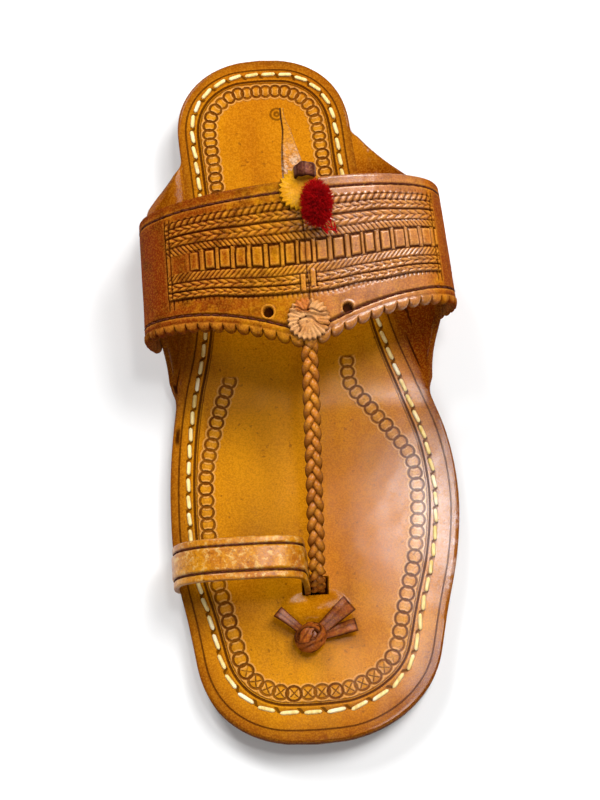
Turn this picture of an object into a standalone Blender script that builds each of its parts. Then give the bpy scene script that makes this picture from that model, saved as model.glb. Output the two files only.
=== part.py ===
# Left kolhapuri sandal: layered leather sole, ears turned up from the insole, an instep
# band over them, a plaited thong down to the toe post and a strap round the big toe.
# Toe towards -Y, heel towards +Y, inner side of the foot at -X, floor at Z 0.

import math
from collections import namedtuple

import bmesh
import bpy
import numpy as np
from mathutils import Vector

mm = 0.001

# Sole sizes
sole_length = 280 * mm
ball_width = 114 * mm
outsole_thickness = 4.0 * mm
midsole_thickness = 2.4 * mm
insole_thickness = 3.2 * mm
midsole_inset = 0.8 * mm
fit_gap = 0.3 * mm
toe_spring = 3.0 * mm
heel_lift_count = 2
heel_lift_thickness = 4.8 * mm
heel_inset = 0.5 * mm
heel_breast_at = 72 * mm
arch_end_at = 150 * mm
spring_start_at = 236 * mm
heel_round = 33 * mm
heel_round_power = 2.25
toe_round = 34 * mm
toe_round_power = 2.4

# Instep sizes: the room inside the band, measured from the insole's top
instep_bulge = 0.6 * mm
instep_taper = 0.09
ear_rise = 18 * mm
instep_height_back = 46 * mm
instep_height_front = 40 * mm
band_thickness = 3.0 * mm
band_back_at = 73.8 * mm
band_back_bow = 1.0 * mm
band_front_at = 116.8 * mm
band_skew = 0.065
band_middle = 2.4 * mm
band_point_depth = 18 * mm
band_point_reach = 34 * mm
band_panel_reach = 42 * mm
band_plain_end = 36 * mm
band_end_turn = math.radians(45)
scallop_pitch = 5.1 * mm
scallop_depth = 1.9 * mm
steps_per_scallop = 3
panel_rise = 0.5 * mm
ladder_rise = 0.5 * mm
eyelet_radius = 2.0 * mm
eyelet_apart = 30 * mm
eyelet_at = 122 * mm

# Ears
ear_turn = math.radians(100)
ear_back_at_inner = 40 * mm
ear_back_at_outer = 31 * mm
ear_back_full_at = 74 * mm
ear_back_power = 1.3
ear_front_at = 158 * mm
ear_front_full_at = 103 * mm
ear_front_power = 1.7
ear_steps = 6

# Thong, toe post and toe strap
post_at = 219.5 * mm
post_depth = 2.4 * mm
thong_width = 7.4 * mm
thong_thickness = 4.6 * mm
plait_pitch = 5.5 * mm
plait_rise = 0.55 * mm
strap_width = 16.5 * mm
strap_tongue_width = 6.5 * mm
strap_thickness = 2.2 * mm
strap_crown = 0.6 * mm
strap_at = 214.5 * mm
strap_foot_at = 210 * mm
strap_height = 24 * mm
strap_square = 2.5
strap_foot_depth = 9 * mm
strap_bend = 1.6 * mm
strap_bend_rise = 2.6 * mm
strap_end_offset = 4.0 * mm

# Ornaments
rosette_thickness = 1.5 * mm
rosette_teeth = 24
rosette_tooth_depth = 0.9 * mm
back_rosette_radius = 8.6 * mm
back_rosette_across = 2.4 * mm
back_rosette_at = 78.5 * mm
front_rosette_radius = 8.2 * mm
front_rosette_at = 126 * mm
pompom_width = 14 * mm
pompom_length = 18 * mm
pompom_height = 12 * mm
pompom_across = 8.2 * mm
pompom_at = 83 * mm
pompom_lock_rise = 0.17
tail_width = 10.5 * mm
tail_tip_width = 2.0 * mm
tail_length = 41.5 * mm
tail_sideways = 5.5 * mm
tail_start_at = 86 * mm
tail_droop = 4.0 * mm
tail_thickness = 1.5 * mm
tie_across = 5.6 * mm
tie_at = 72.5 * mm
lace_width = 3.4 * mm
lace_thickness = 1.3 * mm
bridge_width = 16 * mm
bridge_length = 12 * mm
bridge_height = 3.0 * mm
bridge_across = -3.0 * mm
knot_size = 9.5 * mm
knot_height = 7.0 * mm
knot_across = -4.0 * mm
knot_tail_length = 14 * mm

# Sole outline. along: share of the length from the heel. centre: offset of the section's
# middle as a share of the ball width. half: half width as a share of half the ball width.
SoleRow = namedtuple("SoleRow", "along centre half")
sole_rows = [
    SoleRow(0.00, -0.091, 0.62),
    SoleRow(0.11, -0.089, 0.62),
    SoleRow(0.21, -0.070, 0.622),
    SoleRow(0.29, -0.052, 0.643),
    SoleRow(0.36, -0.034, 0.69),
    SoleRow(0.43, -0.022, 0.765),
    SoleRow(0.50, -0.012, 0.872),
    SoleRow(0.57, 0.003, 0.957),
    SoleRow(0.66, 0.009, 1.0),
    SoleRow(0.75, 0.002, 0.97),
    SoleRow(0.83, -0.004, 0.885),
    SoleRow(0.91, -0.012, 0.81),
    SoleRow(1.00, -0.034, 0.72),
]

# Thong line. along: share of the way from the band's point to the post.
# height: share of the band's height over the insole at its point.
ThongRow = namedtuple("ThongRow", "along height")
thong_rows = [
    ThongRow(0.00, 1.00),
    ThongRow(0.22, 0.90),
    ThongRow(0.48, 0.75),
    ThongRow(0.72, 0.57),
    ThongRow(0.90, 0.36),
    ThongRow(0.98, 0.17),
    ThongRow(1.00, 0.02),
]

# Band tooling. across: share of the way from the back edge to the front edge at the sides.
# bow and point: how far the row is drawn forward in the middle, in shares of
# band_point_depth, as a wide bow and as a point. panel and ladder: height of the relief
# in shares of panel_rise and ladder_rise.
BandRow = namedtuple("BandRow", "across bow point panel ladder")
band_rows = [
    BandRow(0.00, 0.00, 0.00, 0, 0),
    BandRow(0.15, 0.06, 0.00, 0, 0),
    BandRow(0.17, 0.07, 0.00, 1, 0),
    BandRow(0.42, 0.27, 0.00, 1, 0),
    BandRow(0.44, 0.28, 0.00, 1, 1),
    BandRow(0.57, 0.36, 0.00, 1, 1),
    BandRow(0.59, 0.37, 0.00, 1, 0),
    BandRow(0.80, 0.42, 0.00, 1, 0),
    BandRow(0.82, 0.42, 0.02, 0, 0),
    BandRow(0.93, 0.20, 0.60, 0, 0),
    BandRow(1.00, 0.00, 1.00, 0, 0),
]
band_inner_rows = [row for row in band_rows if row.across in (0.0, 0.17, 0.59, 0.82, 1.0)]


heel_rise = heel_lift_count * (heel_lift_thickness + fit_gap)
band_inner_offset = insole_thickness + fit_gap
band_outer_offset = band_inner_offset + band_thickness
medial, lateral = -1, 1


def ease(share):
    """A smooth step from 0 to 1."""
    share = min(1.0, max(0.0, share))
    return share * share * (3 - 2 * share)


def read_table(rows, column, at):
    """Smooth curve through one column of a table, over its column named along."""
    xs = [row.along for row in rows]
    ys = [getattr(row, column) for row in rows]
    slopes = np.gradient(ys, xs)
    i = min(max(int(np.searchsorted(xs, at)) - 1, 0), len(xs) - 2)
    span = xs[i + 1] - xs[i]
    t = (at - xs[i]) / span
    rise = ys[i + 1] - ys[i]
    bend_in = slopes[i] * span - rise
    bend_out = rise - slopes[i + 1] * span
    return ys[i] + rise * t + t * (1 - t) * (bend_in * (1 - t) + bend_out * t)


def round_off(distance, reach, power):
    """How much of its full width the sole has this far from its rounded end."""
    missing = max(0.0, 1 - distance / reach) ** power
    return (1 - missing) ** (1 / power) if missing < 1 - 1e-9 else 0.0


def sole_half(s, inset=0.0):
    """Half width of the sole, s from the heel's end, drawn in by inset all round."""
    length = sole_length - 2 * inset
    s = min(max(s - inset, 0.0), length)
    half = read_table(sole_rows, "half", s / length) * ball_width / 2 - inset
    heel = round_off(s, heel_round, heel_round_power)
    return half * heel * round_off(length - s, toe_round, toe_round_power)


def sole_centre(s):
    return read_table(sole_rows, "centre", s / sole_length) * ball_width


def sole_edge(s, side, inset=0.0):
    """X of the sole's edge on one side."""
    return sole_centre(s) + side * sole_half(s, inset)


def sole_bottom(s):
    """Height of the outsole's underside: on the heel, down the arch, flat, toe spring."""
    drop = ease((s - heel_breast_at) / (arch_end_at - heel_breast_at))
    spring = max(0.0, (s - spring_start_at) / (sole_length - spring_start_at))
    return heel_rise * (1 - drop) + toe_spring * spring**2


def outsole_top(s):
    return sole_bottom(s) + outsole_thickness


def midsole_bottom(s):
    return outsole_top(s) + fit_gap


def midsole_top(s):
    return midsole_bottom(s) + midsole_thickness


def insole_bottom(s):
    return midsole_top(s) + fit_gap


def insole_top(s):
    return insole_bottom(s) + insole_thickness


# Widest level of the instep: just outside the sole's edge where the ears begin in front
instep_half_width = max(abs(sole_edge(ear_front_at, side)) for side in (medial, lateral)) + instep_bulge


def place(x, s, z):
    """A point of the part from its distance s behind which lies the heel's end."""
    return Vector((x, sole_length / 2 - s, z))


def stations(first, last, inset=0.0):
    """Distances from the heel's end: close together at round ends, even between."""
    low, high = inset, sole_length - inset
    ends = 9
    heel = [low + heel_round * (1 - math.cos(i * math.pi / 2 / ends)) for i in range(ends)]
    toe = [high - toe_round * (1 - math.cos(i * math.pi / 2 / ends)) for i in range(ends)]
    middle = np.linspace(low + heel_round, high - toe_round, 37)
    keep = [s for s in (*heel, *middle, *reversed(toe)) if first < s < last]
    return [max(first, low), *[s for s in keep if s > low], min(last, high)]


def finish_mesh(name, bm, material, smooth_angle=35):
    """Turns a closed bmesh into a named object with its material."""
    bmesh.ops.recalc_face_normals(bm, faces=bm.faces)
    if bm.calc_volume(signed=True) < 0:
        bmesh.ops.reverse_faces(bm, faces=bm.faces)
    mesh = bpy.data.meshes.new(name)
    bm.to_mesh(mesh)
    bm.free()
    mesh.shade_smooth()
    mesh.set_sharp_from_angle(angle=math.radians(smooth_angle))
    thing = bpy.data.objects.new(name, mesh)
    bpy.context.scene.collection.objects.link(thing)
    thing.data.materials.append(material)
    return thing


def loft(bm, loops, close_first=True, close_last=True):
    """Skins closed loops of points. Points that coincide become one vertex."""
    known = {}

    def vertex(point):
        key = tuple(round(c * 1e7) for c in point)
        if key not in known:
            known[key] = bm.verts.new(point)
        return known[key]

    def face(corners):
        corners = [v for i, v in enumerate(corners) if v is not corners[i - 1]]
        if len(set(corners)) == len(corners) > 2:
            bm.faces.new(corners)

    rings = [[vertex(p) for p in loop] for loop in loops]
    for ring, after in zip(rings, rings[1:]):
        for i in range(len(ring)):
            face([ring[i - 1], ring[i], after[i], after[i - 1]])
    if close_first:
        face(rings[0])
    if close_last:
        face(rings[-1][::-1])


def add_boolean(thing, other, operation):
    """Joins or cuts with another object, which then no longer shows."""
    modifier = thing.modifiers.new(operation.lower(), "BOOLEAN")
    modifier.operation = operation
    modifier.object = other
    modifier.solver = "EXACT"
    other.hide_render = True
    other.display_type = "WIRE"


def leather(name, colour, roughness):
    material = bpy.data.materials.new(name)
    material.use_nodes = True
    shader = material.node_tree.nodes["Principled BSDF"]
    shader.inputs["Base Color"].default_value = (*colour, 1)
    shader.inputs["Roughness"].default_value = roughness
    shader.inputs["Metallic"].default_value = 0.0
    return material


def box_cutter(name, low, high, material):
    """A box between two opposite corners, given as (x, s, z)."""
    bm = bmesh.new()
    a, b = place(*low), place(*high)
    bottom = [Vector((a.x, a.y, a.z)), Vector((b.x, a.y, a.z)), Vector((b.x, b.y, a.z)), Vector((a.x, b.y, a.z))]
    top = [Vector((p.x, p.y, b.z)) for p in bottom]
    loft(bm, [bottom, top])
    return finish_mesh(name, bm, material)


def ear_limit(s, side):
    """How far the ear is turned up at s, as an angle round the instep section."""
    back_at = ear_back_at_inner if side == medial else ear_back_at_outer
    back = (s - back_at) / (ear_back_full_at - back_at)
    front = (ear_front_at - s) / (ear_front_at - ear_front_full_at)
    back = min(1.0, max(0.0, back)) ** ear_back_power
    front = min(1.0, max(0.0, front)) ** ear_front_power
    return ear_turn * back * front


def crown_height(s):
    """Height of the instep section above its widest level. Its top line is straight."""
    front_at = band_front_at + band_point_depth
    back = insole_top(band_back_at) + instep_height_back
    front = insole_top(front_at) + instep_height_front
    top = back + (front - back) * (s - band_back_at) / (front_at - band_back_at)
    return top - insole_top(s) - ear_rise


def instep_half(s, side):
    """Half width of the instep at its widest level. Its outer side narrows backwards."""
    taper = instep_taper if side == lateral else 0.0
    return instep_half_width - taper * max(0.0, band_front_at - s)


def section_point(s, side, turn, offset):
    """A point round the instep section: turn 0 at the sole's edge, a quarter turn at the
    widest level, half a turn at the top. offset is measured outwards."""
    edge = sole_edge(s, side)
    wide = insole_top(s) + ear_rise
    if turn <= math.pi / 2:
        reach, rise = instep_half(s, side) - abs(edge), ear_rise
        x = edge + side * reach * math.sin(turn)
    else:
        reach, rise = instep_half(s, side), crown_height(s)
        x = side * reach * math.sin(turn)
    z = wide - rise * math.cos(turn)
    out = Vector((side * rise * math.sin(turn), 0, -abs(reach) * math.cos(turn))).normalized()
    return place(x, s, z) + out * offset


def band_turns(side, samples=120):
    """Distances over the band from its top, and the turns that they reach."""
    middle = (band_back_at + band_front_at) / 2
    turns = np.linspace(math.pi, band_end_turn, samples)
    points = [section_point(middle, side, turn, band_outer_offset) for turn in turns]
    steps = [(b - a).length for a, b in zip(points, points[1:])]
    return np.concatenate([[0.0], np.cumsum(steps)]), turns


band_reach = {side: band_turns(side) for side in (medial, lateral)}


def turn_at(across):
    """Side and turn of the point that lies across from the band's top line."""
    side = lateral if across > 0 else medial
    distances, turns = band_reach[side]
    return side, float(np.interp(abs(across), distances, turns))


def on_band(across, s, lift):
    """A point over the band's outer face."""
    side, turn = turn_at(across)
    return section_point(s, side, turn, band_outer_offset + lift)


def band_row_at(row, across):
    """Distance from the heel's end of a row of the band."""
    x = on_band(across, (band_back_at + band_front_at) / 2, 0).x
    away = abs(across - band_middle)
    bow = row.bow * math.exp(-((away / band_panel_reach) ** 2))
    point = row.point * math.exp(-((away / band_point_reach) ** 1.2))
    back = band_back_at - band_back_bow * (x / instep_half_width) ** 2 * (1 - row.across)
    straight = back + (band_front_at - back) * row.across
    return straight - band_skew * x + (bow + point) * band_point_depth


def slab(name, inset, first, last, low, high, material):
    """A layer of the sole between two distances from the heel's end and two heights."""
    loops = []
    for s in stations(first, last, inset):
        left, right = sole_edge(s, medial, inset), sole_edge(s, lateral, inset)
        loops.append([place(left, s, high(s)), place(right, s, high(s)), place(right, s, low(s)), place(left, s, low(s))])
    bm = bmesh.new()
    loft(bm, loops, close_first=False, close_last=last < sole_length)
    return finish_mesh(name, bm, material)


def make_heel(material):
    for i in range(heel_lift_count):
        low = i * (heel_lift_thickness + fit_gap)
        slab(
            f"heel_lift_{i + 1}",
            heel_inset,
            0,
            heel_breast_at,
            lambda s: low,
            lambda s: low + heel_lift_thickness,
            material,
        )


def make_insole(material):
    """Insole with both ears in one piece, a raised bridge and the slot of the toe post."""
    loops = []
    for s in stations(0, sole_length):
        upper, lower = [], []
        for side, order in ((medial, -1), (lateral, 1)):
            turns = [ear_limit(s, side) * i / ear_steps for i in range(ear_steps + 1)][::order]
            upper += [section_point(s, side, turn, 0) for turn in turns]
            lower += [section_point(s, side, turn, insole_thickness) for turn in turns]
        loops.append(upper + lower[::-1])
    bm = bmesh.new()
    loft(bm, loops, close_first=False, close_last=False)
    insole = finish_mesh("insole", bm, material)
    bridge_at = post_at + slot_half_length + bridge_length / 2
    bm = bmesh.new()
    bmesh.ops.create_uvsphere(bm, u_segments=20, v_segments=10, radius=0.5)
    for v in bm.verts:
        v.co = place(
            bridge_across + v.co.x * bridge_width,
            bridge_at - v.co.y * bridge_length,
            insole_top(bridge_at) + v.co.z * 2 * bridge_height,
        )
    add_boolean(insole, finish_mesh("bridge_tool", bm, material), "UNION")
    outer, inner = strap_edge()
    half = strap_width / 2 + 2 * fit_gap
    notch = box_cutter(
        "insole_notch_tool",
        (outer - strap_thickness, strap_foot_at - half, insole_bottom(strap_foot_at) - insole_thickness / 2),
        (inner + 2 * fit_gap, strap_foot_at + half, insole_top(strap_foot_at) + insole_thickness / 2),
        material,
    )
    add_boolean(insole, notch, "DIFFERENCE")
    slot = box_cutter(
        "slot_tool",
        (slot_low, post_at - slot_half_length, insole_bottom(post_at) - insole_thickness / 2),
        (slot_high, post_at + slot_half_length, insole_top(post_at) + bridge_height),
        material,
    )
    add_boolean(insole, slot, "DIFFERENCE")
    return insole


slot_half_length = max(thong_thickness, strap_tongue_width) / 2 + fit_gap
slot_low = -(strap_end_offset + strap_thickness / 2 + fit_gap)
slot_high = thong_width / 2 + fit_gap


def make_band(material):
    """The instep band as one wall, scalloped along its front edge."""
    low, high = -band_reach[medial][0][-1], band_reach[lateral][0][-1]
    scallops = round((high - low) / scallop_pitch)
    steps = scallops * steps_per_scallop
    loops = []
    for i in range(steps + 1):
        across = low + (high - low) * i / steps
        tooled = low + band_plain_end < across < high - band_plain_end
        bump = scallop_depth * math.sin(math.pi * (i % steps_per_scallop) / steps_per_scallop)
        outer, inner = [], []
        for row in band_rows:
            s = band_row_at(row, across) + (bump if row is band_rows[-1] else 0.0)
            rise = row.panel * panel_rise + row.ladder * ladder_rise
            outer.append(on_band(across, s, rise * tooled))
            if row in band_inner_rows:
                inner.append(on_band(across, s, -band_thickness))
        loops.append(outer + inner[::-1])
    bm = bmesh.new()
    loft(bm, loops)
    return finish_mesh("upper", bm, material)


def path_frame(points, i):
    """Forward direction and upward normal of a line of points that bends in one plane."""
    ahead = points[min(i + 1, len(points) - 1)] - points[max(i - 1, 0)]
    ahead.normalize()
    return ahead


def thong_line():
    """Centre line of the thong from inside the band's point down into the insole's slot."""
    start = band_row_at(band_rows[-1], band_middle) - band_thickness
    top = on_band(band_middle, start, -thong_thickness / 2)
    crown = top.z - insole_top(start)
    rows = []
    for i in range(121):
        along = i / 120
        s = start + (post_at - start) * along
        height = crown * read_table(thong_rows, "height", along)
        rows.append(place(top.x * (1 - along), s, insole_top(s) + height))
    rows.append(place(0, post_at, insole_top(post_at) - post_depth))
    lengths = np.concatenate([[0.0], np.cumsum([(b - a).length for a, b in zip(rows, rows[1:])])])
    count = 4 * round(lengths[-1] / plait_pitch)
    even = np.linspace(0, lengths[-1], count + 1)
    return [Vector([float(np.interp(d, lengths, [p[k] for p in rows])) for k in range(3)]) for d in even]


def make_thong(material):
    """The plait: a flat bar whose strips stand up as arrowheads pointing at the band."""
    line = thong_line()
    loops = []
    corners = 12
    for i, centre in enumerate(line):
        ahead = path_frame(line, i)
        up = Vector((1, 0, 0)).cross(ahead)
        loop = []
        for k in range(corners):
            angle = 2 * math.pi * (k + 0.5) / corners
            c, s = math.cos(angle), math.sin(angle)
            phase = i / 4 - 0.5 * abs(c) + (0.5 if c > 0 else 0.0)
            rise = plait_rise * abs(math.sin(math.pi * phase))
            x = math.copysign(abs(c) ** 0.7, c) * (thong_width / 2 - plait_rise + rise)
            z = math.copysign(abs(s) ** 0.7, s) * (thong_thickness / 2 - plait_rise + rise)
            loop.append(centre + Vector((x, 0, 0)) + up * z)
        loops.append(loop)
    bm = bmesh.new()
    loft(bm, loops)
    return finish_mesh("thong_tool", bm, material)


def strap_edge():
    """X of the toe strap's outer and inner face where it rises beside the insole. The outer
    face is flush with the widest part of the sole's edge that it covers."""
    ends = (strap_foot_at - strap_width / 2, strap_foot_at + strap_width / 2)
    outer = min(sole_edge(s, medial) for s in ends)
    return outer, outer + strap_thickness


def strap_line():
    """Rows of the toe strap: centre point, width, how much crown it has."""
    foot_x = strap_edge()[0]
    foot_z = (outsole_top(strap_foot_at) + insole_bottom(strap_foot_at)) / 2
    outer_x = foot_x + strap_thickness / 2
    inner_x = -strap_end_offset
    base_z = insole_top(strap_at)
    rows = [
        (place(foot_x + strap_foot_depth, strap_foot_at, foot_z), strap_width, 0),
        (place(outer_x + strap_bend, strap_foot_at, foot_z), strap_width, 0),
    ]
    for i in range(1, 5):
        angle = math.pi / 2 * i / 4
        x = outer_x + strap_bend * (1 - math.sin(angle))
        z = foot_z + strap_bend_rise * (1 - math.cos(angle))
        rows.append((place(x, strap_foot_at, z), strap_width, i / 4))
    steps = 18
    for i in range(steps):
        angle = math.pi * (1 - i / steps)
        c, s = math.cos(angle), math.sin(angle)
        x = (outer_x + inner_x) / 2 + (inner_x - outer_x) / 2 * math.copysign(abs(c) ** (2 / strap_square), c)
        z = base_z + strap_height * s ** (2 / strap_square)
        share = i / steps
        narrow = ease((share - 0.8) * 6)
        along = strap_foot_at + (strap_at - strap_foot_at) * ease(share * 2) + (post_at - strap_at) * narrow
        width = strap_width + (strap_tongue_width - strap_width) * narrow
        rows.append((place(x, along, z), width, 1 - 0.7 * narrow))
    rows.append((place(inner_x, post_at, base_z + post_depth), strap_tongue_width, 0))
    rows.append((place(inner_x, post_at, base_z - post_depth), strap_tongue_width, 0))
    return rows


def make_toe_strap(material):
    rows = strap_line()
    centres = [row[0] for row in rows]
    loops = []
    for i, (centre, width, crown) in enumerate(rows):
        ahead = path_frame(centres, i)
        side = Vector((0, 1, 0))
        out = ahead.cross(side).normalized()
        half = strap_thickness / 2
        top = half + strap_crown * crown
        shape = [(-0.5, -half), (0.5, -half), (0.5, half), (0.3, half), (0.27, top), (-0.27, top), (-0.3, half), (-0.5, half)]
        loops.append([centre + side * (w * width) + out * t for w, t in shape])
    bm = bmesh.new()
    loft(bm, loops)
    return finish_mesh("strap_tool", bm, material)


def make_upper(material):
    """Band, thong and toe strap joined into one solid, with two eyelets through the band."""
    upper = make_band(material)
    add_boolean(upper, make_thong(material), "UNION")
    add_boolean(upper, make_toe_strap(material), "UNION")
    for side in (medial, lateral):
        across = band_middle + side * eyelet_apart / 2
        centre = on_band(across, eyelet_at, 0)
        inward = on_band(across, eyelet_at, -1) - centre
        bm = bmesh.new()
        bmesh.ops.create_cone(
            bm, cap_ends=True, segments=12, radius1=eyelet_radius, radius2=eyelet_radius, depth=band_thickness * 4
        )
        bm.transform(inward.to_track_quat("Z", "Y").to_matrix().to_4x4())
        bmesh.ops.translate(bm, verts=bm.verts, vec=centre)
        add_boolean(upper, finish_mesh(f"eyelet_tool_{side + 1}", bm, material), "DIFFERENCE")
    return upper


def make_midsole(material):
    """Filler layer with a notch where the toe strap's foot lies."""
    midsole = slab("midsole", midsole_inset, 0, sole_length, midsole_bottom, midsole_top, material)
    edge = strap_edge()[0]
    half = strap_width / 2 + 2 * fit_gap
    notch = box_cutter(
        "midsole_notch_tool",
        (edge - strap_thickness, strap_foot_at - half, outsole_top(strap_foot_at) - fit_gap),
        (edge + strap_foot_depth + fit_gap, strap_foot_at + half, insole_top(strap_foot_at)),
        material,
    )
    add_boolean(midsole, notch, "DIFFERENCE")
    return midsole


def make_rosette(name, across, at, radius, seat, material):
    """A leather disc with a pinked edge that follows the band's face, seat above it."""
    corners = rosette_teeth * 2
    loops = []
    for share in (0.0, 0.55, 1.0):
        ring = []
        for k in range(corners):
            angle = 2 * math.pi * k / corners
            reach = share * (radius - (k % 2) * rosette_tooth_depth * (share == 1.0))
            ring.append((across + reach * math.cos(angle), at + reach * math.sin(angle)))
        loops.append(ring)
    top = [[on_band(a, s, seat + rosette_thickness) for a, s in ring] for ring in loops]
    under = [[on_band(a, s, seat) for a, s in ring] for ring in reversed(loops)]
    bm = bmesh.new()
    loft(bm, top + under, close_first=False, close_last=False)
    return finish_mesh(name, bm, material)


def make_pompom(material):
    """Wool pompom whose locks stand out all round, seated on the back rosette."""
    bm = bmesh.new()
    bmesh.ops.create_icosphere(bm, subdivisions=4, radius=1)
    locks = 44
    golden = math.pi * (3 - math.sqrt(5))
    tips = []
    for k in range(locks):
        z = 1 - 2 * (k + 0.5) / locks
        ring = math.sqrt(1 - z * z)
        tips.append(Vector((ring * math.cos(golden * k), ring * math.sin(golden * k), z)))
    seat = panel_rise + 2 * fit_gap + rosette_thickness
    for v in bm.verts:
        way = v.co.normalized()
        near = max(way.dot(tip) for tip in tips)
        reach = 1 - pompom_lock_rise + pompom_lock_rise * ease((near - 0.955) / 0.045)
        height = max(0.0, (1 + 1.12 * way.z * reach) * pompom_height / 2)
        v.co = on_band(
            pompom_across + way.x * reach * pompom_width / 2,
            pompom_at + way.y * reach * pompom_length / 2,
            seat + height,
        )
    return finish_mesh("pompom", bm, material, 60)


def ribbon(name, rows, thickness, material):
    """A flat strip through rows of left and right points, thickened along a direction."""
    bm = bmesh.new()
    loops = []
    for left, right, out in rows:
        loops.append([left, right, right + out * thickness, left + out * thickness])
    loft(bm, loops)
    return finish_mesh(name, bm, material)


def make_back_tail(material):
    """Pointed tail of the thong's leather, from under the band out over the heel."""
    lift = -band_thickness - fit_gap - tail_thickness
    rows = []
    for i in range(9):
        share = i / 8
        s = tail_start_at - tail_length * share
        middle = back_rosette_across - tail_sideways * share
        half = (tail_width + (tail_tip_width - tail_width) * ease(share * 1.1 - 0.1)) / 2
        droop = Vector((0, 0, tail_droop * share**2))
        left, right = (on_band(middle + x, s, lift) - droop for x in (-half, half))
        rows.append((left, right, Vector((0, 0, 1))))
    return ribbon("back_tail", rows, tail_thickness, material)


def make_pompom_tie(material):
    """Loop of lace that holds the pompom, arched over the back rosette's rear edge."""
    seat = panel_rise + 2 * fit_gap + rosette_thickness
    rows = []
    steps = 10
    for i in range(steps + 1):
        angle = math.pi * i / steps
        across = tie_across - 2.6 * mm * math.cos(angle)
        lift = seat + 4.4 * mm * math.sin(angle)
        out = (
            on_band(across - math.cos(angle) * mm, tie_at, lift + math.sin(angle) * mm)
            - on_band(across, tie_at, lift)
        ).normalized()
        ends = (tie_at - lace_width / 2, tie_at + lace_width / 2)
        rows.append((*[on_band(across, s, lift) for s in ends], out))
    return ribbon("pompom_tie", rows, lace_thickness, material)


def make_toe_knot(material):
    """Knot of the thong's three strands in front of the bridge, with its cut ends."""
    at = post_at + slot_half_length + bridge_length + knot_size / 2 + fit_gap
    floor = insole_top(at) + fit_gap
    bm = bmesh.new()
    bmesh.ops.create_icosphere(bm, subdivisions=3, radius=1)
    for v in bm.verts:
        way = v.co.normalized()
        groove = abs(math.sin(2.2 * math.atan2(way.z, way.x) + 2.5 * way.y))
        reach = 0.86 + 0.14 * groove
        z = floor + max(0.0, (1 + 1.15 * way.z * reach) * knot_height / 2)
        v.co = place(knot_across + way.x * reach * knot_size / 2, at - way.y * reach * knot_size / 2, z)
    knot = finish_mesh("toe_knot", bm, material, 60)
    for i, (heading, length, lift) in enumerate(((215, 0.95, 0.9), (-38, 1.15, 1.5), (-12, 1.0, 0.5))):
        way = Vector((math.cos(math.radians(heading)), -math.sin(math.radians(heading)), 0))
        side = Vector((-way.y, way.x, 0)) * lace_width / 2
        rows = []
        for k in range(6):
            share = k / 5
            centre = place(knot_across, at, floor + lace_thickness) + way * (1.5 * mm + share * length * knot_tail_length)
            centre.z += lift * lace_width * math.sin(share * math.pi / 2)
            centre.z = max(centre.z, floor)
            widen = 0.8 + 0.5 * share
            rows.append((centre - side * widen, centre + side * widen, Vector((0, 0, 1))))
        add_boolean(knot, ribbon(f"knot_tool_{i}", rows, lace_thickness, material), "UNION")
    return knot


def main():
    for thing in list(bpy.data.objects):
        bpy.data.objects.remove(thing)
    tan = leather("tan_leather", (0.58, 0.27, 0.04), 0.42)
    edge = leather("edge_leather", (0.23, 0.08, 0.02), 0.6)
    suede = leather("pale_leather", (0.70, 0.46, 0.20), 0.75)
    lace = leather("brown_lace", (0.30, 0.11, 0.04), 0.5)
    wool = leather("red_wool", (0.45, 0.01, 0.01), 0.95)
    slab("outsole", 0.0, 0, sole_length, sole_bottom, outsole_top, edge)
    make_heel(edge)
    make_midsole(edge)
    make_insole(tan)
    make_upper(tan)
    seat = fit_gap + panel_rise
    make_rosette("rosette_back", back_rosette_across, back_rosette_at, back_rosette_radius, seat, suede)
    make_rosette("rosette_front", band_middle, front_rosette_at, front_rosette_radius, fit_gap, suede)
    make_back_tail(suede)
    make_pompom(wool)
    make_pompom_tie(lace)
    make_toe_knot(lace)


main()
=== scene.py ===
import math

import bmesh
import bpy
import numpy as np
from mathutils import Matrix, Vector


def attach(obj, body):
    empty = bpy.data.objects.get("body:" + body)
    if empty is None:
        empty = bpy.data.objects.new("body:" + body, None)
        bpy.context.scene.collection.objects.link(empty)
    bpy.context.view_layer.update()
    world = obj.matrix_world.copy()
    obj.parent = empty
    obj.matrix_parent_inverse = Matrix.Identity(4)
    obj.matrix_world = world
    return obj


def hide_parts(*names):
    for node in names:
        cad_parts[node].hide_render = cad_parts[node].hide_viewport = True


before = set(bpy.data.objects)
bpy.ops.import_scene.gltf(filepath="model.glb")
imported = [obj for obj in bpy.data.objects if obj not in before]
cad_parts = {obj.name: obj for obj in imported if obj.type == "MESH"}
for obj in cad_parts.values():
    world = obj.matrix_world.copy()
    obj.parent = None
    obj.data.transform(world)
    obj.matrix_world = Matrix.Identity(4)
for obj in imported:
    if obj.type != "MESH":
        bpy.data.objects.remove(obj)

# Lengths are in millimetres until a mesh is made. s is the distance from the heel's end,
# side is -1 on the inner and 1 on the outer side of the foot.
mm = 0.001
medial, lateral = -1, 1
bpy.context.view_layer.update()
rng = np.random.default_rng(7)

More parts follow.
